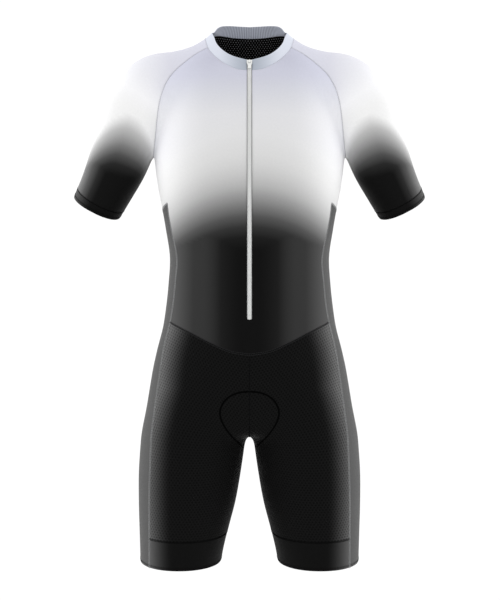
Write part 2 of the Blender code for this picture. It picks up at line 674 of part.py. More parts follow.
# Sleeves, side panels and legs
arm_pace = np.linalg.norm(arm_frame(HEM_STATION)[0] - arm_frame(HEM_STATION - 1)[0])
CUFF_STATION = HEM_STATION - SLEEVE_BAND / arm_pace
SLEEVE = sleeve(CUFF_STATION)
SLEEVE_HEM = around_arm(HEM_STATION, -1, 1, 2 * SLEEVE_COLUMNS)
SLEEVE_BAND_GRID = strip(SLEEVE[0], SLEEVE_HEM, 1)
LEG_BAND = leg_band()
LEG_FRONT = leg_front()
LEG_BACK = leg_back()
SIDE = side_panel(LEG_BAND)
for side, placed in (("left", np.array), ("right", mirrored)):
    cloth(f"sleeve_{side}", [placed(SLEEVE)], WHITE_KNIT)
    cloth(f"sleeve_band_{side}", [placed(SLEEVE_BAND_GRID)], BLACK_BAND)
    cloth(f"side_panel_{side}", [placed(SIDE)], GREY_KNIT)
    cloth(f"leg_front_{side}", [placed(LEG_FRONT)], BLACK_KNIT)
    cloth(f"leg_back_{side}", [placed(LEG_BACK)], BLACK_KNIT)
    cloth(f"leg_band_{side}", [placed(LEG_BAND)], BLACK_BAND)

# Zip: the tape lies behind the cloth and the closed chain stands in the slot between its edges.
cloth("zip_tape", [zip_strip(TAPE_WIDTH, ZIP_BOTTOM - TAPE_BELOW)], ZIP_TAPE, TAPE_WALL,
      lift=-(WALL + STACK_GAP))
cloth("zip_chain", [zip_strip(CHAIN_WIDTH, ZIP_BOTTOM + SEAM_GAP)], ZIP_PLASTIC,
      CHAIN_PROUD + WALL, lift=CHAIN_PROUD)

# Slider, fixed at the top of the zip, and the pull that hinges on its bridge
plate = add("zip_slider", prism(rounded(SLIDER_OUTLINE, 0.9), *SLIDER_LEVELS, axis=1), ZIP_METAL,
            SUIT)
bridge = add("zip_bridge", prism(BRIDGE_OUTLINE, -BRIDGE_WIDTH / 2, BRIDGE_WIDTH / 2, axis=0),
             ZIP_METAL, CUTTERS)
boolean(plate, bridge, "UNION")
half = PULL_THICKNESS / 2
pull = add("zip_pull", prism(rounded(PULL_OUTLINE, 1.6), -half, half, axis=1), ZIP_METAL, SUIT)
window = add("zip_pull_window", prism(rounded(WINDOW_OUTLINE, 0.5), -2 * half, 2 * half, axis=1),
             ZIP_METAL, CUTTERS)
boolean(pull, window, "DIFFERENCE")
out = np.array((0, -np.cos(SLIDER_TILT), -np.sin(SLIDER_TILT)))
for pieces, place in (
    ((plate, bridge), SLIDER_PLACE),
    ((pull, window), SLIDER_PLACE + HINGE_OUT * out),
):
    for piece in pieces:
        piece.location = MM * place
        piece.rotation_euler.x = SLIDER_TILT

# Pad in the seat, behind the cloth of the legs
cloth("seat_pad", [seat_pad()], PAD_FOAM, PAD_THICKNESS, lift=-(WALL + PAD_BEHIND))
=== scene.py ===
"""Triathlon suit with raglan sleeves and a short front zip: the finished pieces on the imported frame.

The front of the suit faces -Y, the wearer's left is +X and up is +Z. Sizes are in millimetres until
a mesh is made, and the meshes are in metres.
"""

import bpy
import numpy as np
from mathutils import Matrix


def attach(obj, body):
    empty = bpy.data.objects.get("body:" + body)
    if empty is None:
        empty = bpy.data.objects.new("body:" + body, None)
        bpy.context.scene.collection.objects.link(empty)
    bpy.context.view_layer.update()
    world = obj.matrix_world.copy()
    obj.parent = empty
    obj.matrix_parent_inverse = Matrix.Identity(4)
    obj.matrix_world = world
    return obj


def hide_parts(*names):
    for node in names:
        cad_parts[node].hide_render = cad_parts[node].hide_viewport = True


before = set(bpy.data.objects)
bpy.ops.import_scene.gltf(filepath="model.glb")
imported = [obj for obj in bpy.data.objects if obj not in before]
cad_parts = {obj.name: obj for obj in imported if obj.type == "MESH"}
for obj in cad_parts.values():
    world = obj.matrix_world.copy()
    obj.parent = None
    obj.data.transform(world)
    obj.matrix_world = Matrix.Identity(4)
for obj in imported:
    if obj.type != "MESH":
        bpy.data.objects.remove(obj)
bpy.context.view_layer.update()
MM = 0.001


# Camera and light
# The suit stands out against white, level with the camera. Two tall soft boxes beside it, a little
# behind, light its sides, and the white room fills the front softly.

CAMERA_PLACE = (0.0009, -2.6, -0.443)
SENSOR = 36.0
LENS = 89.14

camera = bpy.data.objects.new("camera", bpy.data.cameras.new("camera"))
camera.location = CAMERA_PLACE
camera.rotation_euler = (np.pi / 2, 0, 0)
camera.data.sensor_fit = "VERTICAL"
camera.data.sensor_height = SENSOR
camera.data.sensor_width = SENSOR
camera.data.lens = LENS
bpy.context.scene.collection.objects.link(camera)
bpy.context.scene.camera = camera
bpy.context.scene.view_settings.view_transform = "Standard"


class Strand:
    """One socket of a finish. Sums and products on it add Math nodes, and make adds any other node."""

    def __init__(self, tree, socket=None):
        self.tree = tree
        self.socket = socket

    def make(self, kind, settings=None, sockets=None, output=0):
        """Adds a node of a type, with its settings, then the values or links of its sockets."""
        node = self.tree.nodes.new(kind)
        for key, value in (settings or {}).items():
            if key == "stops":
                self.set_stops(node.color_ramp, value)
            else:
                setattr(node, key, value)
        for key, value in (sockets or {}).items():
            if isinstance(value, Strand):
                self.tree.links.new(value.socket, node.inputs[key])
            else:
                node.inputs[key].default_value = value
        return Strand(self.tree, node.outputs[output])

    @staticmethod
    def set_stops(ramp, stops):
        """Gives a colour ramp its stops: a place from 0 to 1 and a colour each."""
        while len(ramp.elements) < len(stops):
            ramp.elements.new(1)
        for element, (place, colour) in zip(ramp.elements, stops):
            element.position = place
            element.color = colour

    def maths(self, operation, *values):
        """A Math node on strands and numbers."""
        return self.make("ShaderNodeMath", {"operation": operation}, dict(enumerate(values)))

    def __add__(self, other):
        return self.maths("ADD", self, other)

    __radd__ = __add__

    def __sub__(self, other):
        return self.maths("SUBTRACT", self, other)

    def __rsub__(self, other):
        return self.maths("SUBTRACT", other, self)

    def __mul__(self, other):
        return self.maths("MULTIPLY", self, other)

    __rmul__ = __mul__

    def __truediv__(self, other):
        return self.maths("DIVIDE", self, other)

    def __pow__(self, other):
        return self.maths("POWER", self, other)

    def wave(self, pitch):
        """A smooth wave of that pitch along this strand, from 0 to 1."""
        return self.maths("SINE", self * (2 * np.pi / pitch)) * 0.5 + 0.5

    def smooth(self, low, high, start=0.0, end=1.0):
        """Smoothly from start to end as this strand goes from low to high."""
        return self.make(
            "ShaderNodeMapRange",
            {"interpolation_type": "SMOOTHSTEP"},
            {"Value": self, "From Min": low, "From Max": high, "To Min": start, "To Max": end},
        )

    def mix(self, first, second, blend="MIX"):
        """Two colours mixed by this strand."""
        return self.make(
            "ShaderNodeMix",
            {"data_type": "RGBA", "blend_type": blend},
            {0: self, 6: first, 7: second},
            output=2,
        )

    def noise(self, place, scale, detail=2.0):
        """Cloudy variation from 0 to 1 at a place."""
        return self.make("ShaderNodeTexNoise", None, {"Vector": place, "Scale": scale, "Detail": detail})

    def carried(self, name):
        """A number that the mesh carries at each of its points."""
        return self.make("ShaderNodeAttribute", {"attribute_name": name}, output=2)

    def cut(self):
        """Where the finish is in the flat cloth: the vector, and the millimetres across and down."""
        place = self.make("ShaderNodeUVMap", {"uv_map": "cut"})
        split = [self.make("ShaderNodeSeparateXYZ", None, {0: place}, output=i) for i in (0, 1)]
        return place, split[0] * 1000.0, split[1] * 1000.0

    def dots(self, across, down, pitch, row):
        """Distance in millimetres from the nearest point of a staggered lattice."""
        found = []
        for shift in (0.0, 0.5):
            x = self.maths("FRACT", across / pitch + shift) - 0.5
            y = self.maths("FRACT", down / (2 * row) + shift) - 0.5
            found.append(((x * pitch) ** 2.0 + (y * (2 * row)) ** 2.0) ** 0.5)
        return self.maths("MINIMUM", *found)

    def bump(self, height, depth):
        """A normal bent by a height from 0 to 1, for a depth in metres."""
        return self.make("ShaderNodeBump", None, {"Strength": 1.0, "Distance": depth, "Height": height})


def colour(red, green, blue):
    """A colour of a screen, 0 to 255, as the linear colour of a shader."""
    value = np.array((red, green, blue)) / 255
    value = np.where(value <= 0.04045, value / 12.92, ((value + 0.055) / 1.055) ** 2.4)
    return (*value.tolist(), 1.0)


def finish(name, **constants):
    """A new finish: its material, a strand to build nodes from, and what its shader reads."""
    made = bpy.data.materials.new(name)
    made.use_nodes = True
    shader = made.node_tree.nodes["Principled BSDF"]
    for key, value in constants.items():
        shader.inputs[key.replace("_", " ")].default_value = value

    def wear(**strands):
        """Links strands to the sockets of the shader, by their names."""
        for key, strand in strands.items():
            made.node_tree.links.new(strand.socket, shader.inputs[key.replace("_", " ")])

    return made, Strand(made.node_tree), wear


ROOM_SIDES = 1.16
ROOM_ENDS = 0.935
ROOM_SEEN = 1.05
ENDS_FROM, ENDS_TO = 0.62, 0.97
SOFT_BOX_PLACE = np.array((1.7, 0.25, -0.4))
SOFT_BOX_TURN = 98
SOFT_BOX_WIDTH, SOFT_BOX_HEIGHT = 0.9, 2.0
SOFT_BOX_POWER = 10

room = bpy.data.worlds.new("room")
bpy.context.scene.world = room
room.use_nodes = True
walls = Strand(room.node_tree)
way = walls.make("ShaderNodeSeparateXYZ", None, {0: walls.make("ShaderNodeTexCoord")}, output=1)
ends = walls.maths("ABSOLUTE", way).smooth(ENDS_FROM, ENDS_TO, ROOM_SIDES, ROOM_ENDS)
seen = walls.make("ShaderNodeLightPath")
walls.tree.links.new(
    (ends * (1 - seen) + seen * ROOM_SEEN).socket, walls.tree.nodes["Background"].inputs["Strength"]
)
walls.tree.nodes["Background"].inputs["Color"].default_value = (1, 1, 1, 1)


def soft_box(name, place, turn, width, height, power):
    """A rectangular lamp at a place, turned so that its face looks along its own -Z."""
    lamp = bpy.data.lights.new(name, "AREA")
    lamp.shape = "RECTANGLE"
    lamp.size = width
    lamp.size_y = height
    lamp.energy = power
    box = bpy.data.objects.new(name, lamp)
    box.location = place
    box.rotation_euler = turn
    bpy.context.scene.collection.objects.link(box)


for name, side in (("soft_box_left", 1), ("soft_box_right", -1)):
    turn = (np.pi / 2, 0, np.radians(side * SOFT_BOX_TURN))
    place = SOFT_BOX_PLACE * (side, 1, 1)
    soft_box(name, place, turn, SOFT_BOX_WIDTH, SOFT_BOX_HEIGHT, SOFT_BOX_POWER)


# Front panel
# White knit that fades to black above the waist, cut as one piece from the neck to the V seam, with
# a slot for the zip. The figure below is what fills the suit; every panel lies on it, edge to edge.

WALL = 1.4
SEAM_GAP = 0.06
EDGE_ROLL = 0.35
FINE = 4
SLOT_WIDTH = 8.8
ZIP_BOTTOM = -476.0
FRONT_COLUMNS = 9
BACK_COLUMNS = 9
SIDE_COLUMNS = 3
SLEEVE_COLUMNS = 8
RAGLAN_ROWS = 9
SIDE_LINE_ROWS = 5
BODICE_ROWS = 9


def sections(columns, rows):
    """A table with one row for each section, as a dictionary of named columns."""
    return dict(zip(columns.split(), np.array(rows, float).T))


TRUNK = sections("height half_width front back power", (
    (-700, 150, 85, 95, 2.35),
    (-650, 160, 95, 108, 2.35),
    (-610, 168, 103, 115, 2.35),
    (-570, 167, 107, 113, 2.35),
    (-530, 161, 109, 105, 2.35),
    (-490, 151, 109, 95, 2.35),
    (-450, 145, 106, 89, 2.35),
    (-410, 141, 103, 86, 2.35),
    (-370, 139, 102, 88, 2.35),
    (-320, 146, 106, 95, 2.35),
    (-280, 153, 111, 101, 2.35),
    (-240, 160.5, 115, 107, 2.35),
    (-200, 164.5, 114, 111, 2.35),
    (-160, 160, 107, 111, 2.35),
    (-120, 151, 94, 106, 2.35),
    (-80, 131, 76, 96, 2.35),
    (-50, 98, 57, 84, 2.35),
    (-25, 40, 20, 60, 2.35),
))
NECK = sections("height half_width front back power", (
    (-70, 100, 63, 98, 2.1),
    (-50, 96, 58.5, 91, 2.1),
    (-20, 92, 50.5, 80, 2.1),
    (0, 85, 44, 69.5, 2.1),
    (10, 78, 40.5, 64.5, 2.1),
    (20, 68, 36.5, 58, 2.2),
    (27, 62.5, 34, 54, 2.4),
    (35, 60.5, 31.5, 51, 2.6),
    (50, 58, 26, 42, 2.8),
))
NECK_CENTRE = 8
LEG = sections("height centre half_width front back power", (
    (-930, 123, 67, 68, 70, 2.1),
    (-904, 120.5, 70, 71, 73, 2.1),
    (-880, 118.6, 72.4, 74, 76, 2.1),
    (-845, 115, 77, 79, 81, 2.1),
    (-793, 109, 84.4, 86, 88, 2.1),
    (-740, 104.2, 89, 91, 95, 2.1),
    (-705, 100.6, 90.5, 95, 101, 2.1),
    (-680, 98, 91, 97, 107, 2.1),
    (-640, 91.5, 90, 97, 110, 2.1),
    (-590, 81, 87, 93, 104, 2.1),
    (-540, 72, 80, 85, 85, 2.1),
))
ARM = sections("station x y z half_width half_depth power", (
    (0, 20, 14, -28, 36, 44, 2.1),
    (1, 70, 13, -37, 42, 48, 2.1),
    (2, 125, 10, -55, 48.5, 52, 2.1),
    (3, 162, 7, -65, 52, 56, 2.1),
    (4, 184, 5, -85, 54.5, 59, 2.3),
    (5, 200.5, 5, -112, 55, 60, 2.7),
    (6, 211, 8, -142, 54, 59, 3.0),
    (7, 220.5, 14, -172.4, 53, 56, 2.8),
    (8, 234, 25, -205.6, 51.5, 52, 2.4),
    (9, 253.2, 38, -243.5, 47.6, 49, 2.1),
    (10, 271.8, 50, -277.2, 44.8, 46, 2.1),
    (11, 290, 61, -313, 42, 44, 2.1),
))
LAST_STATION = 11
STATION_STEPS = 88
ARM_REACH = -360
CROTCH = -677
TRUNK_ROUNDING = 60
LEG_TOP = -545
LEG_ROUNDING = 40
NECK_FOOT = -55
NECK_ROUNDING = 20
CROTCH_BLEND = 14
HIP_BLEND = 30
NECK_BLEND = 44
ARMPIT_BLEND = 22
SHOULDER_BLEND = 44
ARMPIT = -185
SHOULDER = -105
SEAM_SAMPLES = 200


def read(table, names, at):
    """Columns of a table at any height or station, by cubic curves through its rows."""
    first = next(iter(table))
    place = table[first]
    values = np.stack([table[name] for name in names.split()], axis=-1)
    step = np.diff(place)[:, None]
    slope = np.diff(values, axis=0) / step
    middle = (slope[:-1] * step[1:] + slope[1:] * step[:-1]) / (step[1:] + step[:-1])
    slope = np.vstack([slope[:1], middle, slope[-1:]])
    at = np.clip(at, place[0], place[-1])
    row = np.clip(np.searchsorted(place, at, side="right") - 1, 0, len(place) - 2)
    span = step[row]
    t = (at - place[row])[..., None] / span
    found = (
        (2 * t**3 - 3 * t**2 + 1) * values[row]
        + (t**3 - 2 * t**2 + t) * span * slope[row]
        + (3 * t**2 - 2 * t**3) * values[row + 1]
        + (t**3 - t**2) * span * slope[row + 1]
    )
    return np.moveaxis(found, -1, 0)


def joined(a, b, blend):
    """Two forms joined by a fillet: the smaller distance, rounded off over the blend."""
    overlap = np.maximum(blend - np.abs(a - b), 0) / blend
    return np.minimum(a, b) - blend * overlap**3 / 6


def cut_off(a, b, blend):
    """The part that two forms share, with a rounded edge."""
    return -joined(-a, -b, blend)


def round_section(across, deep, half_width, half_depth, power):
    """Distance from a rounded section, negative inside it: |x/w|^p + |y/d|^p = 1 is its edge."""
    radius = np.hypot(across, deep) + 1e-9
    share = (np.abs(across) / half_width) ** power + (np.abs(deep) / half_depth) ** power
    return radius - radius / (share ** (1 / power) + 1e-12)


def upright(table, points, centre_x=0, centre_y=0):
    """Distance from an upright form whose depth differs in front and behind."""
    half_width, front, back, power = read(table, "half_width front back power", points[..., 2])
    deep = points[..., 1] - centre_y
    return round_section(
        points[..., 0] - centre_x, deep, half_width, np.where(deep < 0, front, back), power
    )


def leg(points, side):
    """Distance from one leg, rounded off at the hip."""
    centre = side * read(LEG, "centre", points[..., 2])[0]
    return cut_off(upright(LEG, points, centre), points[..., 2] - LEG_TOP, LEG_ROUNDING)


def arm_frame(station):
    """Centre of the arm, its direction, and the across and deep directions of its section."""
    nudge = 1e-3
    centre = np.moveaxis(read(ARM, "x y z", station), 0, -1)
    ahead = np.moveaxis(read(ARM, "x y z", station + nudge), 0, -1)
    behind = np.moveaxis(read(ARM, "x y z", station - nudge), 0, -1)
    along = ahead - behind
    along /= np.linalg.norm(along, axis=-1, keepdims=True)
    across = np.cross(along, (0, 1, 0))
    across /= np.linalg.norm(across, axis=-1, keepdims=True)
    return centre, along, across, np.cross(across, along)


def nearest_station(points):
    """The station of the arm's centre line that lies nearest to each point."""
    stations = np.linspace(0, LAST_STATION, STATION_STEPS + 1)
    line = np.moveaxis(read(ARM, "x y z", stations), 0, -1)
    start, step = line[:-1], np.diff(line, axis=0)
    out = points[..., None, :] - start
    share = np.clip((out * step).sum(-1) / (step**2).sum(-1), 0, 1)
    away = np.linalg.norm(out - share[..., None] * step, axis=-1)
    nearest = away.argmin(axis=-1)
    share = np.take_along_axis(share, nearest[..., None], axis=-1)[..., 0]
    return (nearest + share) * stations[1]


def left_arm(points):
    """Distance from the left arm: rounded sections across its centre line."""
    station = nearest_station(points)
    centre, along, across, deep = arm_frame(station)
    half_width, half_depth, power = read(ARM, "half_width half_depth power", station)
    out = points - centre
    side = round_section(
        (out * across).sum(-1), (out * deep).sum(-1), half_width, half_depth, power
    )
    beside = (station > 0) & (station < LAST_STATION)
    past_end = np.where(beside, 0, np.abs((out * along).sum(-1)))
    return np.where(past_end > 0, np.hypot(np.maximum(side, 0), past_end), side)


def to_left(points):
    """Points with those of the right half mirrored onto the left half."""
    return np.abs(points * (1, 0, 0)) + points * (0, 1, 1)


def arm(points):
    """Distance from both arms: the right one is the left one mirrored."""
    found = np.full(points.shape[:-1], 1e3)
    near = points[..., 2] > ARM_REACH
    found[near] = left_arm(to_left(points[near]))
    return found


def figure(points):
    """Distance from the whole figure, negative inside it."""
    height = points[..., 2]
    trunk = cut_off(upright(TRUNK, points), CROTCH - height, TRUNK_ROUNDING)
    legs = joined(leg(points, 1), leg(points, -1), CROTCH_BLEND)
    neck = upright(NECK, points, centre_y=NECK_CENTRE)
    neck = cut_off(neck, NECK_FOOT - height, NECK_ROUNDING)
    up = np.clip((height - ARMPIT) / (SHOULDER - ARMPIT), 0, 1)
    fold = ARMPIT_BLEND + (SHOULDER_BLEND - ARMPIT_BLEND) * up
    body = joined(joined(trunk, legs, HIP_BLEND), arm(points), fold)
    return joined(body, neck, NECK_BLEND)


def steepness(points):
    """How the distance grows along X, Y and Z."""
    nudge = 0.05 * np.eye(3)
    return np.stack([figure(points + n) - figure(points - n) for n in nudge], axis=-1) / 0.1


def outward(points):
    """Unit normals of the figure at points on it or near it."""
    direction = steepness(points)
    return direction / np.linalg.norm(direction, axis=-1, keepdims=True)


def onto_figure(points, rounds=8):
    """Points moved onto the figure the shortest way."""
    for _ in range(rounds):
        direction = steepness(points)
        distance = figure(points) / (direction**2).sum(-1)
        points = points - np.clip(distance, -20, 20)[..., None] * direction
    return points


def run_of(points):
    """Length along a line of points, from its first."""
    return np.concatenate([[0], np.cumsum(np.linalg.norm(np.diff(points, axis=0), axis=1))])


def along_line(points, count):
    """A number of even steps along a line of points."""
    run = run_of(points)
    at = np.linspace(0, run[-1], count + 1)
    return np.stack([np.interp(at, run, points[:, i]) for i in range(3)], axis=-1)


def seam(rows, count):
    """A seam on the figure through the places in its rows, in even steps, FINE to each of count."""
    places = onto_figure(np.array(rows, float))
    table = dict(row=np.arange(len(places)), x=places[:, 0], y=places[:, 1], z=places[:, 2])
    at = np.linspace(0, len(places) - 1, SEAM_SAMPLES)
    fine = np.moveaxis(read(table, "x y z", at), 0, -1)
    line = onto_figure(along_line(onto_figure(fine), FINE * count))
    line[[0, -1]] = places[[0, -1]]
    middle = np.abs(np.array(rows)[:, 0]).max() == 0
    return line * (0, 1, 1) if middle else line


def mirrored(points):
    """Points of the left half moved to the right half."""
    return points * (-1, 1, 1)


def line_of(*parts):
    """Lines that follow one another, joined into one."""
    return np.concatenate([parts[0]] + [part[1:] for part in parts[1:]])


def patch(first, last, start, end):
    """A grid between four edges: the sides blended across, plus the ends blended along, less the
    blend of the four corners."""
    u = np.linspace(0, 1, len(start))[None, :, None]
    v = np.linspace(0, 1, len(first))[:, None, None]
    sides = (1 - u) * first[:, None] + u * last[:, None]
    ends = (1 - v) * start[None] + v * end[None]
    corners = (1 - v) * ((1 - u) * start[0] + u * start[-1]) + v * ((1 - u) * end[0] + u * end[-1])
    return sides + ends - corners


def settle(grid, rounds=40, closing=8):
    """Spreads the inner points of a grid evenly over the figure and keeps its edges."""
    grid[1:-1, 1:-1] = onto_figure(grid[1:-1, 1:-1], closing)
    for _ in range(rounds):
        mean = (grid[:-2, 1:-1] + grid[2:, 1:-1] + grid[1:-1, :-2] + grid[1:-1, 2:]) / 4
        grid[1:-1, 1:-1] = onto_figure(mean, rounds=1)
    grid[1:-1, 1:-1] = onto_figure(grid[1:-1, 1:-1], closing)
    return grid


def finer(grid):
    """FINE steps for each step of a grid along its first direction, by cubic curves through it."""
    count = len(grid)
    table = {"row": np.arange(count)}
    table.update({str(i): column for i, column in enumerate(grid.reshape(count, -1).T)})
    names = " ".join(list(table)[1:])
    fine = read(table, names, np.linspace(0, count - 1, FINE * (count - 1) + 1))
    return fine.T.reshape(-1, *grid.shape[1:])


def refined(coarse, first, last, start, end):
    """A coarse grid made finer in both directions and fitted to its four fine edges."""
    grid = np.swapaxes(finer(np.swapaxes(finer(coarse), 0, 1)), 0, 1)
    grid += patch(first - grid[:, 0], last - grid[:, -1], start - grid[0], end - grid[-1])
    grid[:, 0], grid[:, -1], grid[0], grid[-1] = first, last, start, end
    return settle(grid, rounds=2, closing=2)


def panel(first, last, start, end):
    """A panel of the suit between four seams, on the figure."""
    coarse = settle(patch(*(line[::FINE] for line in (first, last, start, end))))
    return refined(coarse, first, last, start, end)


def with_lines(grid, rows=(), columns=()):
    """A grid with added lines at parts of its rows and columns, so that an edge can roll over."""
    for axis, extra in enumerate((rows, columns)):
        if extra:
            count = grid.shape[axis]
            at = np.sort(np.concatenate([np.arange(count), np.array(extra) % (count - 1)]))
            low = np.minimum(at.astype(int), count - 2)
            share = np.expand_dims(at - low, tuple({0, 1} - {axis}) + (2,))
            grid = (1 - share) * grid.take(low, axis) + share * grid.take(low + 1, axis)
    return onto_figure(grid, 1)


def whole(half):
    """A half grid whose first column is on the middle, made whole."""
    return np.concatenate([mirrored(half)[:, :0:-1], half], axis=1)


def at_slot(half, edge=SLOT_WIDTH / 2):
    """A half grid whose second column lies on the edge of the zip slot."""
    columns = 2 * FINE
    for line in half:
        run = run_of(line[: columns + 1])
        start = np.interp(edge, line[: columns + 1, 0], run)
        at = np.concatenate([[0], np.linspace(start, run[-1], columns)])
        columns_in = [np.interp(at, run, line[: columns + 1, i]) for i in range(3)]
        line[: columns + 1] = np.stack(columns_in, axis=1)
    return half


def flat_cut(grid):
    """Where each point of a grid lies in the flat cloth: along its own row from the middle column,
    and down by the mean run of the columns."""
    steps = np.linalg.norm(np.diff(grid, axis=1), axis=-1)
    across = np.concatenate([np.zeros((len(grid), 1)), np.cumsum(steps, axis=1)], axis=1)
    across -= across[:, grid.shape[1] // 2][:, None]
    steps = np.linalg.norm(np.diff(grid, axis=0), axis=-1).mean(axis=1)
    down = np.concatenate([[0], np.cumsum(steps)])
    return np.stack([across, -down[:, None] + 0 * across], axis=-1)


def add_piece(name, points, faces, finish, slot, cut=None, body="suit", **values):
    """A mesh in the scene from points in millimetres, with its place in the cut as a UV map."""
    data = bpy.data.meshes.new(name)
    data.from_pydata((points * MM).tolist(), [], faces.tolist())
    if cut is not None:
        data.uv_layers.new(name="cut").uv.foreach_set("vector", (cut * MM).astype("f").ravel())
    for key, numbers in values.items():
        data.attributes.new(key, "FLOAT", "POINT").data.foreach_set("value", numbers.astype("f"))
    data.shade_smooth()
    data.materials.append(finish)
    piece = bpy.data.objects.new(name, data)
    bpy.context.scene.collection.objects.link(piece)
    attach(piece, body)
    return piece


def cloth(name, grids, finish, slot, wall=WALL, lift=0.0, gaps=None, fade=None, straight=False):
    """A closed cloth shell whose outer face follows the grids, which join end to end. Its free edges
    are drawn back by SEAM_GAP and rolled over by EDGE_ROLL, and its inner face lies a wall's depth
    inside. A straight piece is cut from a strip, so its stitches stand across it all along. Gaps
    are the faces left out, fade gives the points a number for the printed fade and for
    painted light and sheen, and lift moves the piece outwards."""
    points, cuts, quads = [], [], []
    count, reach = 0, 0.0
    for number, grid in enumerate(grids):
        rows, columns = grid.shape[:2]
        corner = count + np.arange(rows * columns).reshape(rows, columns)
        around = np.stack([corner[:-1, :-1], corner[1:, :-1], corner[1:, 1:], corner[:-1, 1:]], -1)
        quads.append(around.reshape(-1, 4) if gaps is None else around[~gaps[number]])
        points.append(grid.reshape(-1, 3))
        cut = flat_cut(grid) - (0, reach)
        reach = -cut[-1, 0, 1]
        if straight:
            cut[..., 0] = cut[..., 0].mean(axis=0)
        cuts.append(cut.reshape(-1, 2))
        count += rows * columns
    points, cuts, quads = np.concatenate(points), np.concatenate(cuts), np.concatenate(quads)
    # Points of two grids are one where they round to the same hundredth. The shift avoids ties.
    _, first, same = np.unique(
        np.round(points + 0.00317, 2), axis=0, return_index=True, return_inverse=True
    )
    used, faces = np.unique(same.ravel()[quads], return_inverse=True)
    faces = faces.reshape(quads.shape)
    points = points[first][used]
    if not np.isscalar(wall):
        wall = np.concatenate([depth.ravel() for depth in wall])[first][used][:, None]
    normal = outward(points)
    corners = points[faces]
    facing = np.cross(corners[:, 2] - corners[:, 0], corners[:, 3] - corners[:, 1])
    if (facing * normal[faces[:, 0]]).sum() < 0:
        faces, quads = faces[:, ::-1], quads[:, ::-1]

    start, end = faces.ravel(), np.roll(faces, -1, axis=1).ravel()
    free = ~np.isin(start * len(points) + end, end * len(points) + start)
    start, end = start[free], end[free]
    cut_start, cut_end = quads.ravel()[free], np.roll(quads, -1, axis=1).ravel()[free]
    run = points[end] - points[start]
    inward = np.cross(normal[start], run / np.linalg.norm(run, axis=1, keepdims=True))
    draw = np.zeros_like(points)
    np.add.at(draw, start, inward)
    np.add.at(draw, end, inward)
    draw *= SEAM_GAP / np.maximum((draw**2).sum(1, keepdims=True), 1)
    edge = np.zeros((len(points), 1))
    edge[start] = 1
    outer = points + draw + (lift - EDGE_ROLL * edge) * normal
    inner = points + draw + (lift - wall + EDGE_ROLL * edge) * normal
    rim = np.stack([end, start, start + len(points), end + len(points)], axis=1)
    return add_piece(
        name,
        np.concatenate([outer, inner]),
        np.concatenate([faces, faces[:, ::-1] + len(points), rim]),
        finish,
        slot,
        np.concatenate([cuts[quads], cuts[quads[:, ::-1]],
                        cuts[np.stack([cut_end, cut_start, cut_start, cut_end], axis=1)]]),
        inner=np.repeat((0.0, 1.0), len(points)),
        # The carried number holds the printed fade together with painted light and sheen.
        **({} if fade is None else {"fade": np.tile(fade(points), 2)}),
    )


FADE_TOP = -22.75
FADE_BOTTOM = -495.25
FADE_ARCH = 0.00268
FADE_SHADES = (
    (0, (194, 195, 210)), (35, (199, 200, 213)), (70, (209, 210, 217)), (105, (219, 219, 222)),
    (140, (220, 220, 221)), (175, (214, 214, 214)), (192.5, (207, 207, 207)), (210, (195, 195, 195)),
    (227.5, (178, 178, 178)), (245, (150, 150, 150)), (262.5, (118, 118, 118)), (280, (81, 81, 81)),
    (297.5, (48, 48, 48)), (315, (24, 24, 24)), (336, (10, 10, 10)), (472.5, (9, 9, 9)),
)
FADE_ARCH_TOP = -110
FADE_ARCH_RUN = 80
FADE_DEEPEST = 0.711
# Painted sheen: the torso's black is capped paler away from the zip and again at the flanks.
FADE_PAINTED_SHEEN = 0.0815
FADE_PAINTED_SHEEN_FROM, FADE_PAINTED_SHEEN_RUN = 12, 68
FADE_FLANK_SHEEN = 0.033
FADE_FLANK_SHEEN_FROM, FADE_FLANK_SHEEN_RUN = 95, 45
# Painted side light: the pale knit is brighter towards the flanks by this factor.
PAINTED_SIDE_LIGHT_GAIN = 1.25
SIDE_LIGHT_FROM, SIDE_LIGHT_TO = 70.0, 170.0
JERSEY_WALE, JERSEY_COURSE = 1.6, 1.3


def fade_of(height):
    """How far the cloth has faded: 0 at the collar, 1 where the black is full."""
    return np.clip((FADE_TOP - height) / (FADE_TOP - FADE_BOTTOM), 0, 1)


def risen(value, start, run):
    """How far a value has risen over a run from its start: 0 to 1, held at both ends."""
    return np.clip((value - start) / run, 0, 1)


def eased(share):
    """A share from 0 to 1 with soft ends: three of its squares less two of its cubes."""
    return share * share * (3 - 2 * share)


def torso_fade_and_sheen(points):
    """The printed fade of the torso, which reaches lower at the sides along an arch. The arch starts
    below the chest. The black is capped paler away from the zip and again at the flanks, a painted
    sheen."""
    height, aside = points[:, 2], np.abs(points[:, 0])
    arch = eased(risen(-height, -FADE_ARCH_TOP, FADE_ARCH_RUN))
    painted_sheen = FADE_PAINTED_SHEEN * eased(risen(aside, FADE_PAINTED_SHEEN_FROM, FADE_PAINTED_SHEEN_RUN))
    painted_side_light = FADE_FLANK_SHEEN * risen(aside, FADE_FLANK_SHEEN_FROM, FADE_FLANK_SHEEN_RUN)
    lowered = fade_of(height + FADE_ARCH * arch * aside**2)
    return np.minimum(lowered, FADE_DEEPEST - painted_sheen - painted_side_light)


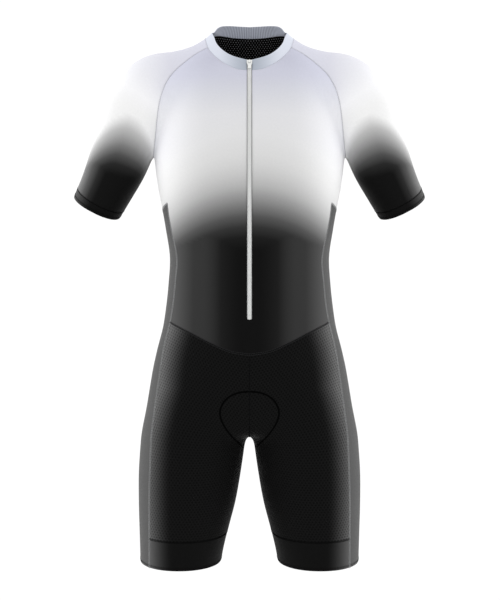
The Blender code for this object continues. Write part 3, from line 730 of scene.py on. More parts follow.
def white_knit(name, shades, painted_side_light):
    """Fine jersey: columns of stitches across, rows down, and a fade read from the piece, printed and
    with painted sheen. Where it is palest it is brighter at the flanks by a factor, a painted side
    light, and the hollows of the stitches are painted a little darker, a painted shade."""
    made, strand, wear = finish(
        name, Specular_IOR_Level=0.05, Sheen_Weight=0.08, Sheen_Roughness=0.3
    )
    place, across, down = strand.cut()
    fade = strand.carried("fade")
    stops = [(at, colour(*shade)) for at, shade in shades]
    dyed_and_lit = strand.make("ShaderNodeValToRGB", {"stops": stops}, {0: fade})
    # Painted side light: where the knit is palest it is brightened towards the flanks.
    aside = strand.maths("ABSOLUTE", across).smooth(SIDE_LIGHT_FROM, SIDE_LIGHT_TO) * (1.0 - fade)
    dyed_and_lit = aside.mix(dyed_and_lit, (painted_side_light, painted_side_light, painted_side_light, 1.0), "MULTIPLY")
    stitch = across.wave(JERSEY_WALE) * 0.6 + down.wave(JERSEY_COURSE) * 0.4
    grain = strand.noise(place, 260.0)
    # Painted shade: the stitches' hollows are a little darker, with a random grain.
    shade = stitch.smooth(0.0, 1.0, 0.95, 1.0) * grain.smooth(0.3, 0.7, 0.98, 1.0)
    wear(
        Base_Color=shade.mix(colour(0, 0, 0), dyed_and_lit),
        Roughness=grain.smooth(0.3, 0.7, 0.52, 0.62),
        Normal=strand.bump(stitch, 0.00012),
    )
    return made


fade_run = FADE_TOP - FADE_BOTTOM
fade_stops = [(drop / fade_run, shade) for drop, shade in FADE_SHADES]
WHITE_KNIT = white_knit("white_knit", fade_stops, PAINTED_SIDE_LIGHT_GAIN)

NECK_FRONT = seam(((0, -62, -50.7), (21.4, -58, -47.5), (42.1, -47, -36.4), (57.7, -40, -24),
                   (67.5, -34, -13), (71.8, -28, -5.6)), FRONT_COLUMNS + SIDE_COLUMNS)
RAGLAN_FRONT = seam(((71.8, -28, -5.6), (92.5, -30, -17), (118, -38.5, -38), (138.2, -44.6, -60),
                     (152, -45, -90), (158, -43, -118), (161.5, -36, -149), (163.5, -21.5, -175),
                     (165.3, -7, -189), (165.3, 4, -192)), RAGLAN_ROWS)
SIDE_LINE = seam(((165.3, 4, -192), (162.5, 4, -220), (157.5, 4, -252), (151, 4, -289)),
                 SIDE_LINE_ROWS)
SIDE_TOP_FRONT = seam(((151, 4, -289), (148, -32, -283), (140.5, -54, -277)), SIDE_COLUMNS)
SIDE_FRONT_UPPER = seam(((140.5, -54, -277), (137.5, -50.5, -302), (132, -51, -331),
                         (125, -54, -366), (124.5, -54.5, -386), (127.5, -54, -414),
                         (131, -55, -451), (136, -54, -481)), BODICE_ROWS)
V_SEAM = seam(((0, -109, -535), (33, -108, -529.5), (66.5, -103, -515.5), (100.5, -89, -498.5),
               (136, -54, -481)), FRONT_COLUMNS)
CENTRE_FRONT_UPPER = seam(((0, -62, -50.7), (0, -90, -115), (0, -113, -190), (0, -112, -245),
                           (0, -108, -290)), RAGLAN_ROWS + SIDE_LINE_ROWS)
CENTRE_FRONT_LOWER = seam(((0, -108, -290), (0, -103, -370), (0, -107, -450), (0, -109, -535)),
                          BODICE_ROWS)
FRONT_RIB = seam(((0, -108, -290), (50, -104, -288), (100, -86, -283), (140.5, -54, -277)),
                 FRONT_COLUMNS)


def torso(centre_upper, centre_lower, neck, raglan, rib, side_top, side, waist):
    """The left half of the front or the back as two grids that share the rib row."""
    upper = panel(centre_upper, line_of(raglan, SIDE_LINE), neck, line_of(rib, side_top[::-1]))
    return upper, panel(centre_lower, side, rib, waist)


ROLL = (0.2, 0.5)
ROLL_BACK = (-0.5, -0.2)
SLOT_END_SPREAD = 60
front_upper, front_lower = torso(CENTRE_FRONT_UPPER, CENTRE_FRONT_LOWER, NECK_FRONT, RAGLAN_FRONT,
                                 FRONT_RIB, SIDE_TOP_FRONT, SIDE_FRONT_UPPER, V_SEAM)
last = int(np.abs(front_lower[:, 0, 2] - ZIP_BOTTOM).argmin())
spread = np.exp(-(front_lower[last, :, 0] / SLOT_END_SPREAD) ** 2)
drop = (ZIP_BOTTOM - front_lower[last, 0, 2]) * spread
front_lower[last - 1 : last + 2, :, 2] += np.array((0.5, 1, 0.5))[:, None] * drop
front_lower[last - 1 : last + 2, 1:-1] = onto_figure(front_lower[last - 1 : last + 2, 1:-1], 2)
front_upper, front_lower = at_slot(front_upper), at_slot(front_lower)
rib_end = FINE * FRONT_COLUMNS
upper_lines = (rib_end - 0.5, rib_end - 0.2, *ROLL_BACK)
front_grids = [
    whole(with_lines(front_upper, (*ROLL, *ROLL_BACK), upper_lines)),
    whole(with_lines(front_lower, ROLL_BACK, ROLL_BACK)),
]
front_gaps = [np.zeros((grid.shape[0] - 1, grid.shape[1] - 1), bool) for grid in front_grids]
middle = front_gaps[0].shape[1] // 2
front_gaps[0][:, middle - 1 : middle + 1] = True
middle = front_gaps[1].shape[1] // 2
front_gaps[1][:last, middle - 1 : middle + 1] = True
front_panel = cloth("front_panel", front_grids, WHITE_KNIT, "white_knit", gaps=front_gaps,
                    fade=torso_fade_and_sheen)
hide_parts("front")


# Back panel
# Black mesh in one piece from the neck to the waist seam, knitted with rows of round holes that
# let sweat out. Each hole is painted pale, a painted stand-in for the light that shows through it.

SIDE_TOP_BACK = seam(((151, 4, -289), (148, 34, -286), (139, 58, -282)), SIDE_COLUMNS)
SIDE_BACK_UPPER = seam(((139, 58, -282), (135, 56, -302), (129, 55, -331), (123, 54, -366),
                        (123, 54, -386), (126, 54, -414), (131, 55, -451), (137, 56, -481)),
                       BODICE_ROWS)
NECK_BACK = seam(((64, 32, 25), (55, 43, 26.6), (43, 54, 27), (24, 65, 26.2), (0, 68, 25.6)),
                 BACK_COLUMNS + SIDE_COLUMNS)
RAGLAN_BACK = seam(((64, 32, 25), (92, 54, -14), (118, 59.5, -38), (137, 60, -62),
                    (145, 54, -90), (150, 49, -118), (155, 43, -149), (161.5, 31, -174),
                    (164.8, 15, -189), (165.3, 4, -192)), RAGLAN_ROWS)
BACK_WAIST = seam(((0, 95, -506), (35, 94, -502), (75, 87, -495), (112, 72, -487),
                   (137, 56, -481)), BACK_COLUMNS)
CENTRE_BACK_UPPER = seam(((0, 68, 25.6), (0, 92, -30), (0, 106, -110), (0, 111, -180),
                          (0, 105, -240), (0, 99, -290)), RAGLAN_ROWS + SIDE_LINE_ROWS)
CENTRE_BACK_LOWER = seam(((0, 99, -290), (0, 88, -370), (0, 89, -450), (0, 95, -506)), BODICE_ROWS)
BACK_RIB = seam(((0, 99, -290), (50, 97, -288), (100, 82, -285), (139, 58, -282)), BACK_COLUMNS)
HOLE_PITCH = 5.0
HOLE_ROW = 4.1
HOLE_RADIUS = 0.8
HOLE_EDGE = 0.3
HOLE_RIM = 0.9


def black_mesh():
    """Black knit with a staggered lattice of round holes: each hole is painted pale for the light seen
    through it, and its raised rim is painted a little lighter, a painted highlight.
    """
    made, strand, wear = finish("black_mesh", Specular_IOR_Level=0.03)
    place, across, down = strand.cut()
    away = strand.dots(across, down, HOLE_PITCH, HOLE_ROW)
    grain = strand.noise(place, 300.0)
    outside = away.smooth(HOLE_RADIUS - HOLE_EDGE, HOLE_RADIUS + HOLE_EDGE)
    rim = away.smooth(HOLE_RADIUS, HOLE_RADIUS + HOLE_RIM, 1.0, 0.0)
    # Painted highlight on the raised rims, and painted light where each hole shows through.
    yarn = rim.mix(colour(4, 4, 4), colour(8, 8, 9))
    wear(
        Base_Color=outside.mix(colour(126, 126, 128), yarn),
        Roughness=grain.smooth(0.3, 0.7, 0.62, 0.8),
        Normal=strand.bump(rim + 0.3 * across.wave(1.25), 0.0002),
    )
    return made


back_upper, back_lower = torso(CENTRE_BACK_UPPER, CENTRE_BACK_LOWER, NECK_BACK[::-1], RAGLAN_BACK,
                               BACK_RIB, SIDE_TOP_BACK, SIDE_BACK_UPPER, BACK_WAIST)
back_grids = [
    whole(with_lines(back_upper, (*ROLL, *ROLL_BACK), upper_lines)),
    whole(with_lines(back_lower, ROLL_BACK, ROLL_BACK)),
]
back_panel = cloth("back_panel", back_grids, black_mesh(), "black_mesh", wall=1.0)
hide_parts("back")


# Collar
# A stand-up band of ribbed knit sewn all round the neck. The zip runs up through its front.

COLLAR_ROWS = 3
COLLAR_TOP_STEPS = 120
COLLAR_TOP = ((0, -48.5, -31), (16, -47, -26.9), (27.7, -45, -23.1), (37, -42.5, -18.5),
              (46.4, -38, -11.6), (53.6, -33, -3.9), (58.4, -27, 4.1), (61.2, -19, 13),
              (63.5, -6, 20.5), (64.2, 8, 25), (62, 23, 30), (57.6, 33, 38), (50, 43, 43.8),
              (34.8, 53, 46.2), (17, 61, 46.6), (0, 64, 46.3))
RIB_PITCH = 3.2
COLLAR_FRONT = 70.0
NECK_SIDE = seam(((71.8, -28, -5.6), (75.5, -12, 9), (75, 6, 17.5), (70.5, 21, 22.5), (64, 32, 25)),
                 2 * SLEEVE_COLUMNS)


def strip(top, bottom, rows):
    """A grid of straight rows between two edges, on the figure."""
    share = np.linspace(0, 1, FINE * rows + 1)[:, None, None]
    grid = (1 - share) * top + share * bottom
    grid[1:-1] = onto_figure(grid[1:-1])
    return grid


def collar_knit():
    """Pale knit: smooth outside, with upright ribs inside. The front outside is painted a little
    darker, a painted shade, and the inside ribs darker still, the painted shade inside the collar
    and in their grooves.
    """
    made, strand, wear = finish(
        "collar_knit", Specular_IOR_Level=0.08, Sheen_Weight=0.05, Sheen_Roughness=0.4
    )
    place, across, down = strand.cut()
    inner = strand.carried("inner")
    rib = across.wave(RIB_PITCH)
    front = strand.maths("ABSOLUTE", across).smooth(0.0, COLLAR_FRONT)
    grain = strand.noise(place, 260.0)
    # Painted shade: darker at the front outside, and darker inside and in the ribs' grooves.
    outside = front.mix(colour(166, 173, 184), colour(212, 216, 227))
    ribs = rib.mix(colour(134, 138, 151), colour(200, 204, 216))
    wear(
        Base_Color=inner.mix(outside, ribs),
        Roughness=grain.smooth(0.3, 0.7, 0.74, 0.88),
        Normal=strand.bump(rib * (inner * 0.9 + 0.05) + 0.15 * down.wave(JERSEY_COURSE), 0.0003),
    )
    return made


bottom = line_of(NECK_FRONT, NECK_SIDE, NECK_BACK)
top = seam(COLLAR_TOP, COLLAR_TOP_STEPS)
turn_top, turn_bottom = (
    np.arctan2(np.abs(line[:, 0]), NECK_CENTRE - line[:, 1]) for line in (top, bottom)
)
top = np.stack([np.interp(turn_bottom, turn_top, top[:, i]) for i in range(3)], axis=-1)
collar_grid = at_slot(strip(top, bottom, COLLAR_ROWS))
collar_grid = whole(with_lines(collar_grid, (*ROLL, *ROLL_BACK)))
collar_gap = np.zeros((collar_grid.shape[0] - 1, collar_grid.shape[1] - 1), bool)
middle = collar_gap.shape[1] // 2
collar_gap[:, middle - 1 : middle + 1] = True
collar_band = cloth("collar_band", [collar_grid], collar_knit(), "collar_knit", gaps=[collar_gap],
                    straight=True)
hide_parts("collar")


# Sleeves
# Raglan sleeves of the same white knit, fading to black above the cuff, closed under the arm, each
# with a plain black band at the cuff.

HEM_STATION = 10
SLEEVE_BAND = 17.0
UNDERARM_ROWS = 5
SLEEVE_SHADES = (
    (0.0, (206, 207, 221)), (0.18, (216, 216, 226)), (0.34, (244, 244, 246)), (0.4, (240, 240, 240)),
    (0.44, (226, 226, 226)), (0.54, (186, 186, 186)), (0.72, (118, 118, 118)), (0.81, (76, 76, 76)),
    (0.9, (36, 36, 36)), (1.0, (11, 11, 11)),
)
GREY_START = 0.4
SLEEVE_LIGHT = -124
SLEEVE_DARK = -223
SLEEVE_ARCH = 58
SLEEVE_ARCH_TOP = 0.9
# Painted light: inside the arm the grey starts lower and runs longer, against the shade under
# the arm, and outside it runs longer for the side light.
SLEEVE_ARCH_INSIDE = 15
SLEEVE_RUN_OUTSIDE = 34
SLEEVE_RUN_INSIDE = 13
# Painted sheen: the black is capped paler along a strip outside the arm.
SLEEVE_PAINTED_SHEEN = 0.33
SHOULDER_STATION = 5
OUTSIDE_SHEEN_STRIP = 1.14
SLEEVE_STRIP_POWER, CUFF_STRIP_POWER = 0.9, 1.6


def arm_place(points):
    """Where points lie on the left arm: the station, and the turn from outside over the back."""
    station = nearest_station(points)
    centre, _, across, deep = arm_frame(station)
    out = points - centre
    return np.stack([station, np.arctan2((out * deep).sum(-1), (out * across).sum(-1))], axis=-1)


def on_arm(place):
    """Points on the figure at a station and turn of the left arm."""
    station, turn = place[..., 0], place[..., 1]
    centre, _, across, deep = arm_frame(station)
    half_width, half_depth, power = read(ARM, "half_width half_depth power", station)
    cosine, sine = np.cos(turn), np.sin(turn)
    share = (np.abs(cosine) / half_width) ** power + (np.abs(sine) / half_depth) ** power
    radius = (share ** (-1 / power))[..., None]
    return onto_figure(centre + radius * (across * cosine[..., None] + deep * sine[..., None]))


def sleeve(cuff_station):
    """From the band at the cuff up to the neck, laid out in station and turn, closed to the armpit."""
    turns = np.linspace(-np.pi, np.pi, 2 * SLEEVE_COLUMNS * FINE + 1)
    cuff = on_arm(np.stack([np.full(len(turns), cuff_station), turns], axis=-1))
    armpit = arm_place(RAGLAN_FRONT[-1])
    stations = np.linspace(cuff_station, armpit[0], UNDERARM_ROWS * FINE + 1)
    underarm = np.stack([stations, np.full(len(stations), -np.pi)], axis=-1)
    line = on_arm(underarm)
    line[[0, -1]] = cuff[0], RAGLAN_FRONT[-1]
    front, back = line_of(line, RAGLAN_FRONT[::-1]), line_of(line, RAGLAN_BACK[::-1])
    front_place = np.concatenate([underarm, arm_place(RAGLAN_FRONT[-2::-1])])[::FINE]
    back_place = np.concatenate([underarm * (1, -1), arm_place(RAGLAN_BACK[-2::-1])])[::FINE]
    cuff_place = np.stack([cuff_station + 0 * turns, turns], -1)[::FINE]
    grid = on_arm(patch(front_place, back_place, cuff_place, arm_place(NECK_SIDE)[::FINE]))
    edges = front, back, cuff, NECK_SIDE
    grid[:, 0], grid[:, -1], grid[0], grid[-1] = (edge[::FINE] for edge in edges)
    return refined(settle(grid, rounds=3), *edges)


def outside_sheen_strip(points, power):
    """How far points are onto the strip along the outside of the arm, from 0 to 1, where painted
    sheen goes. A higher power makes the strip narrower."""
    facing = np.cos(arm_place(to_left(points))[:, 1])
    return np.clip(1 - OUTSIDE_SHEEN_STRIP * (1 - facing), 0, 1) ** power


def sleeve_fade_and_light(points):
    """The printed fade of a sleeve: 0 at the neck, 0.4 where the grey starts, on an arch that is
    highest in the middle of the sleeve, and 1 where the black is full. The grey starts lower inside
    and runs longer at the sides, painted light, and a paler strip outside is painted sheen."""
    place = arm_place(to_left(points))
    facing = np.cos(place[:, 1])
    inside, outside = np.maximum(-facing, 0), np.maximum(facing, 0)
    arch = SLEEVE_ARCH * np.minimum(facing**2, SLEEVE_ARCH_TOP)
    start = SLEEVE_LIGHT - arch - SLEEVE_ARCH_INSIDE * inside
    run = start - SLEEVE_DARK + SLEEVE_RUN_OUTSIDE * outside**2 + SLEEVE_RUN_INSIDE * inside
    light = GREY_START * np.clip(place[:, 0] / SHOULDER_STATION, 0, 1)
    dark = GREY_START + (1 - GREY_START) * (start - points[:, 2]) / run
    deepest = 1 - SLEEVE_PAINTED_SHEEN * outside_sheen_strip(points, SLEEVE_STRIP_POWER)
    return np.clip(np.where(dark > GREY_START, dark, light), 0, deepest)


def cuff_painted_sheen(points):
    """The painted sheen of a cuff band: 1 along its outside, where it is painted grey for the side
    light, and 0 in front, inside and behind.
    """
    return outside_sheen_strip(points, CUFF_STRIP_POWER)


def black_band():
    """Smooth black stretch band: close stitches with a faint upright line, its hollows painted a
    little darker as shade, and painted grey where the mesh carries painted sheen.
    """
    made, strand, wear = finish(
        "black_band", Specular_IOR_Level=0.05, Sheen_Weight=0.03, Sheen_Roughness=0.3
    )
    place, across, down = strand.cut()
    grain = strand.noise(place, 320.0)
    line = across.wave(1.4)
    black = line.mix(colour(8, 8, 8), colour(11, 11, 11))
    wear(
        # Painted sheen: grey where the band would catch the side lights.
        Base_Color=strand.carried("fade").mix(black, colour(88, 88, 88)),
        Roughness=grain.smooth(0.3, 0.7, 0.55, 0.7),
        Normal=strand.bump(line + 0.4 * grain, 0.00012),
    )
    return made


BLACK_BAND = black_band()
SLEEVE_KNIT = white_knit("sleeve_knit", SLEEVE_SHADES, 1.0)
arm_pace = np.linalg.norm(arm_frame(HEM_STATION)[0] - arm_frame(HEM_STATION - 1)[0])
sleeve_grid = sleeve(HEM_STATION - SLEEVE_BAND / arm_pace)
turn = np.linspace(-np.pi, np.pi, 2 * SLEEVE_COLUMNS * FINE + 1)[:, None]
centre, _, across, deep = arm_frame(HEM_STATION)
half_width, half_depth = read(ARM, "half_width half_depth", HEM_STATION)
cuff_hem = onto_figure(
    centre + across * half_width * np.cos(turn) + deep * half_depth * np.sin(turn)
)
cuff_grid = strip(sleeve_grid[0], cuff_hem, 1)
cuff_grid[:, -1] = cuff_grid[:, 0]
sleeve_grid = with_lines(sleeve_grid, (*ROLL, *ROLL_BACK), (*ROLL, *ROLL_BACK))
cuff_grid = with_lines(cuff_grid, (*ROLL, *ROLL_BACK))
for side, placed in (("left", np.array), ("right", mirrored)):
    sleeve_piece = cloth(f"sleeve_cloth_{side}", [placed(sleeve_grid)], SLEEVE_KNIT, "white_knit",
                         fade=sleeve_fade_and_light)
    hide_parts(f"sleeve_{side}")
    cuff_band = cloth(f"cuff_band_{side}", [placed(cuff_grid)], BLACK_BAND, "black_band",
                      fade=cuff_painted_sheen)
    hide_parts(f"sleeve_band_{side}")


# Legs
# Two fronts and two backs of dimpled black knit, with a smooth grey side panel between them that
# runs from a point under the arm down to the hem, and a smooth black band at the foot of each leg.

LEG_HEM = -896.0
LEG_BAND_TOP = -845.5
LEG_HEM_TILT = 0.13
FORK_ROWS = 13
INSEAM_ROWS = 8
BAND_ROWS = 3
DIMPLE_PITCH = 5.8
DIMPLE_ROW = 4.4
# Painted sheen towards the side of each leg.
SIDE_SHEEN_FROM = 60
SIDE_SHEEN_RUN = 42


def around_leg(height, start, end, count):
    """An edge around the left leg: turns run from 0 at the side, over the back, to 1 at the inseam."""
    turn = np.pi * np.linspace(start, end, 12)
    centre, half_width, front, back = read(LEG, "centre half_width front back", height)
    y = np.where(turn < 0, front, back) * np.sin(turn)
    z = height + LEG_HEM_TILT * y
    return seam(np.stack([centre + half_width * np.cos(turn), y, z], axis=-1), count)


SIDE_PANEL_FRONT = -0.24
SIDE_PANEL_BACK = 0.25
BAND_FRONT = around_leg(LEG_BAND_TOP, -1, SIDE_PANEL_FRONT, FRONT_COLUMNS)
BAND_BACK = around_leg(LEG_BAND_TOP, SIDE_PANEL_BACK, 1, BACK_COLUMNS)
HEM_FRONT = around_leg(LEG_HEM, -1, SIDE_PANEL_FRONT, FRONT_COLUMNS)
HEM_SIDE = around_leg(LEG_HEM, SIDE_PANEL_FRONT, SIDE_PANEL_BACK, 2 * SIDE_COLUMNS)
HEM_BACK = around_leg(LEG_HEM, SIDE_PANEL_BACK, 1, BACK_COLUMNS)
SIDE_FRONT_LOWER = seam(((136, -54, -481), (145, -52, -514), (154.5, -56, -571),
                         (161.5, -59, -615), (166.5, -63.5, -668), (169.5, -65, -705),
                         (171.5, -61, -777), BAND_FRONT[-1]), FORK_ROWS + INSEAM_ROWS)
SIDE_BACK_LOWER = seam(((137, 56, -481), (146, 60, -514), (154, 68, -571), (161, 72, -615),
                        (166.5, 72, -668), (169.5, 70, -705), (171.5, 63, -777), BAND_BACK[0]),
                       FORK_ROWS + INSEAM_ROWS)
FORK_FRONT = seam(((0, -109, -535), (0, -105, -600), (0, -95, -645), (0, -60, -673),
                   (0, 0, -679)), FORK_ROWS)
FORK_BACK = seam(((0, 95, -506), (0, 108, -560), (0, 110, -610), (0, 95, -655), (0, 60, -675),
                  (0, 0, -679)), FORK_ROWS)
INSEAM = seam(((0, 0, -679), (10, 0, -697), (15, 0, -740), (24.5, 0, -793), BAND_FRONT[0]),
              INSEAM_ROWS)


def leg_side_sheen(points):
    """How much painted sheen the side of the leg gets: 0 inside and 1 at the side, where the black
    is painted grey to stand for the side lights' sheen.
    """
    hip = read(TRUNK, "half_width", points[:, 2])[0]
    thigh = read(LEG, "centre half_width", points[:, 2]).sum(axis=0)
    from_side = np.maximum(hip, thigh) - np.abs(points[:, 0])
    return risen(-from_side, -SIDE_SHEEN_FROM, SIDE_SHEEN_RUN) ** 2


def black_knit():
    """Black knit pressed with a staggered lattice of round dimples, the raised knit between them
    painted lighter as a highlight, and painted grey at the side as a sheen.
    """
    made, strand, wear = finish(
        "black_knit", Specular_IOR_Level=0.05, Sheen_Weight=0.03, Sheen_Roughness=0.3
    )
    place, across, down = strand.cut()
    away = strand.dots(across, down, DIMPLE_PITCH, DIMPLE_ROW)
    grain = strand.noise(place, 300.0)
    raised = away.smooth(0.9, 2.3)
    # Painted highlight and sheen: raised knit lighter than the dimples, grey where sheen is carried.
    black = raised.mix(colour(4, 4, 4), colour(14, 14, 14))
    pale = raised.mix(colour(70, 70, 70), colour(98, 98, 98))
    wear(
        Base_Color=strand.carried("fade").mix(black, pale),
        Roughness=grain.smooth(0.3, 0.7, 0.6, 0.78),
        Normal=strand.bump(raised + 0.15 * grain, 0.0005),
    )
    return made


def grey_knit():
    """Smooth dark grey stretch knit with a faint sheen, its stitches' hollows painted a little darker
    as shade.
    """
    made, strand, wear = finish(
        "grey_knit", Specular_IOR_Level=0.1, Sheen_Weight=0.03, Sheen_Roughness=0.4
    )
    place, across, down = strand.cut()
    grain = strand.noise(place, 300.0)
    stitch = across.wave(1.3) * 0.6 + down.wave(1.1) * 0.4
    wear(
        # Painted shade: the stitches' hollows are darker.
        Base_Color=stitch.mix(colour(70, 70, 70), colour(81, 81, 81)),
        Roughness=grain.smooth(0.3, 0.7, 0.5, 0.66),
        Normal=strand.bump(stitch + 0.3 * grain, 0.00012),
    )
    return made


BLACK_KNIT = black_knit()
GREY_KNIT = grey_knit()
inside = line_of(FORK_FRONT, INSEAM)
leg_front = panel(inside, SIDE_FRONT_LOWER, V_SEAM, BAND_FRONT)
leg_back = panel(line_of(FORK_BACK, INSEAM), SIDE_BACK_LOWER, BACK_WAIST, BAND_BACK[::-1])
band_top = line_of(BAND_FRONT[::-1], BAND_BACK[::-1])
leg_band = strip(band_top, line_of(HEM_FRONT[::-1], HEM_BACK[::-1]), BAND_ROWS)
side_panel = panel(
    line_of(SIDE_FRONT_UPPER, SIDE_FRONT_LOWER, leg_band[:, 0]),
    line_of(SIDE_BACK_UPPER, SIDE_BACK_LOWER, leg_band[:, -1]),
    line_of(SIDE_TOP_FRONT[::-1], SIDE_TOP_BACK),
    HEM_SIDE,
)
LEG_PIECES = (
    ("leg_front", "leg_front_cloth", leg_front, BLACK_KNIT, "black_knit", (0.25, 0.35), 0.0665),
    ("leg_back", "leg_back_cloth", leg_back, BLACK_KNIT, "black_knit", (0.26, 0.39), 0.066),
    ("leg_band", "leg_band_cloth", leg_band, BLACK_BAND, "black_band", (0.36, 0.052), 0.018),
    ("side_panel", "side_panel_cloth", side_panel, GREY_KNIT, "grey_knit", (0.17, 0.64), 0.0755),
)
for side, placed in (("left", np.array), ("right", mirrored)):
    for node, name, grid, knit, slot, flat, area in LEG_PIECES:
        lined = with_lines(grid, (*ROLL, *ROLL_BACK), (*ROLL, *ROLL_BACK))
        piece = cloth(f"{name}_{side}", [placed(lined)], knit, slot, fade=leg_side_sheen)
        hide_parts(f"{node}_{side}")


# Seat pad
# A soft foam saddle sewn inside the legs from the front of the crotch to the seat, thick along its
# middle and thin at its edges, with two long channels pressed into it.

PAD_THICKNESS = 4.0
PAD_EDGE_THICKNESS = 1.6
PAD_BEHIND = 2.0
PAD_COLUMNS = 4
PAD_ROWS = 20
CHANNEL_PLACE = 0.45
CHANNEL_WIDTH = 0.09
CHANNEL_DEPTH = 0.6
PAD_MIDDLE = ((0, -104.5, -597), (0, -101, -625), (0, -90, -650), (0, -60, -673), (0, 0, -679),
              (0, 55, -676), (0, 90, -660), (0, 106, -630), (0, 109, -595))
PAD_EDGE = ((28, -104, -600), (43, -102, -610), (49, -98, -632), (40, -78, -662),
            (22, -42, -690), (17, 0, -703), (24, 42, -693), (44, 80, -668), (58, 97, -640),
            (52, 104, -612), (34, 107, -598))


def pad_foam():
    """Soft black brushed foam."""
    made, strand, wear = finish(
        "pad_foam", Specular_IOR_Level=0.15, Sheen_Weight=0.3, Sheen_Roughness=0.5
    )
    place, across, down = strand.cut()
    grain = strand.noise(place, 420.0, 4.0)
    wear(
        Base_Color=grain.mix(colour(22, 22, 23), colour(34, 34, 36)),
        Roughness=grain.smooth(0.3, 0.7, 0.8, 0.95),
        Normal=strand.bump(grain, 0.0004),
    )
    return made


middle, edge = seam(PAD_MIDDLE, PAD_ROWS)[::FINE], seam(PAD_EDGE, PAD_ROWS)[::FINE]
top, bottom = (
    onto_figure(along_line(np.stack([middle[end], edge[end]]), PAD_COLUMNS)) for end in (0, -1)
)
pad_half = settle(patch(middle, edge, top, bottom), rounds=5)
pad_half = np.swapaxes(finer(np.swapaxes(finer(pad_half), 0, 1)), 0, 1)
pad_grid = whole(onto_figure(pad_half, 2))
across = np.linspace(-1, 1, pad_grid.shape[1])[None, :]
along = np.linspace(-1, 1, pad_grid.shape[0])[:, None]
crown = (1 - across**6) * (1 - along**10)
channel = np.exp(-(((np.abs(across) - CHANNEL_PLACE) / CHANNEL_WIDTH) ** 2)) * (1 - along**4)
depth = crown * (1 - CHANNEL_DEPTH * channel)
depth = PAD_EDGE_THICKNESS + (PAD_THICKNESS - PAD_EDGE_THICKNESS) * depth
pad = cloth("seat_pad_foam", [pad_grid], pad_foam(), "pad_foam", wall=[depth],
            lift=-(WALL + PAD_BEHIND))
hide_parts("seat_pad")


# Zip
# A short closed zip in pale grey: woven tapes behind the cloth, two rows of moulded coil that mesh
# in the slot, and a white lacquered metal slider with a pull that hangs from its bridge.

TAPE_BELOW = 10.0
TAPE_STEPS = 100
TAPE_LINES = ((-12, -1.7), (-9, -1.7), (-6, -1.7), (-4.2, -1.7), (-3.5, -1.2), (-3.25, -0.55),
              (-1.8, -0.45))
TAPE_SHADOW_FROM, TAPE_SHADOW_TO = 3.4, 4.2
COIL_PITCH = 1.5
COIL_END_GAP = 0.6
COIL_LEVELS = ((-0.9, -0.35, 3.35, 0.52), (0.1, -0.35, 3.35, 0.52), (0.46, -0.07, 3.07, 0.24))
METAL_WELD, METAL_BEVEL = 0.00001, 0.00022
RING = ((0, 1), (1, 2), (2, 3), (3, 0))
BLOCK_FACES = np.array(
    [(3, 2, 1, 0)]
    + [(low + i, low + j, low + 4 + j, low + 4 + i) for low in (0, 4) for i, j in RING]
    + [(8, 9, 10, 11)]
)


def block(levels):
    """A small block from three levels, each a rectangle: its height, left, right and half length."""
    return np.array([
        (x, y, height) for height, left, right, half in levels
        for x, y in ((left, -half), (right, -half), (right, half), (left, half))
    ])


def zip_tape():
    """Woven tape, a fine herringbone with its hollows painted a little darker: pale at the coil, and
    painted dark farther out, the painted shadow in the gap under the slot's edges.
    """
    made, strand, wear = finish("zip_tape", Specular_IOR_Level=0.2)
    place, across, down = strand.cut()
    aside = strand.maths("ABSOLUTE", across)
    twill = (down + aside).wave(0.9)
    pale = twill.mix(colour(200, 201, 200), colour(220, 221, 220))
    grain = strand.noise(place, 400.0)
    wear(
        # Painted shadow: the tape darkens where it lies in the gap beside the coil.
        Base_Color=aside.smooth(TAPE_SHADOW_FROM, TAPE_SHADOW_TO).mix(pale, colour(154, 155, 156)),
        Roughness=grain.smooth(0.3, 0.7, 0.7, 0.82),
        Normal=strand.bump(twill, 0.00015),
    )
    return made


def zip_plastic():
    """Pale grey moulded coil, slightly worn to a gloss on its crowns."""
    made, strand, wear = finish("zip_plastic", Specular_IOR_Level=0.4)
    place = strand.make("ShaderNodeTexCoord", output=3)
    grain = strand.noise(place, 900.0)
    wear(
        Base_Color=grain.mix(colour(216, 217, 216), colour(232, 233, 232)),
        Roughness=grain.smooth(0.3, 0.7, 0.35, 0.5),
        Normal=strand.bump(grain, 0.00005),
    )
    return made


def zip_metal():
    """White lacquer on cast metal, thin along the edges where the grey metal wears through."""
    made, strand, wear = finish("zip_metal", Specular_IOR_Level=0.5)
    place = strand.make("ShaderNodeTexCoord", output=3)
    cast = strand.noise(place, 700.0, 4.0)
    worn = cast.smooth(0.62, 0.74)
    wear(
        Base_Color=worn.mix(colour(226, 227, 225), colour(168, 170, 168)),
        Roughness=cast.smooth(0.3, 0.7, 0.28, 0.42),
        Metallic=worn * 0.6,
        Normal=strand.bump(cast, 0.00004),
    )
    return made


def frames_along(line):
    """Across, along and outward directions at each point of a line on the figure."""
    out = outward(line)
    along = np.gradient(line, axis=0)
    along -= (along * out).sum(-1, keepdims=True) * out
    along /= np.linalg.norm(along, axis=-1, keepdims=True)
    return np.stack([np.cross(along, out), along, out], axis=1)


def repeated(shape, faces, places, frames):
    """A block set down at many places, each turned into its own frame."""
    points = places[:, None] + np.einsum("kj,njc->nkc", shape, frames)
    number = len(shape) * np.arange(len(places))[:, None, None]
    return points.reshape(-1, 3), (faces[None] + number).reshape(-1, faces.shape[1])


def merged(*meshes):
    """Several meshes as one."""
    counts = np.cumsum([0] + [len(points) for points, _ in meshes])
    faces = [faces + count for (_, faces), count in zip(meshes, counts)]
    return np.concatenate([points for points, _ in meshes]), np.concatenate(faces)


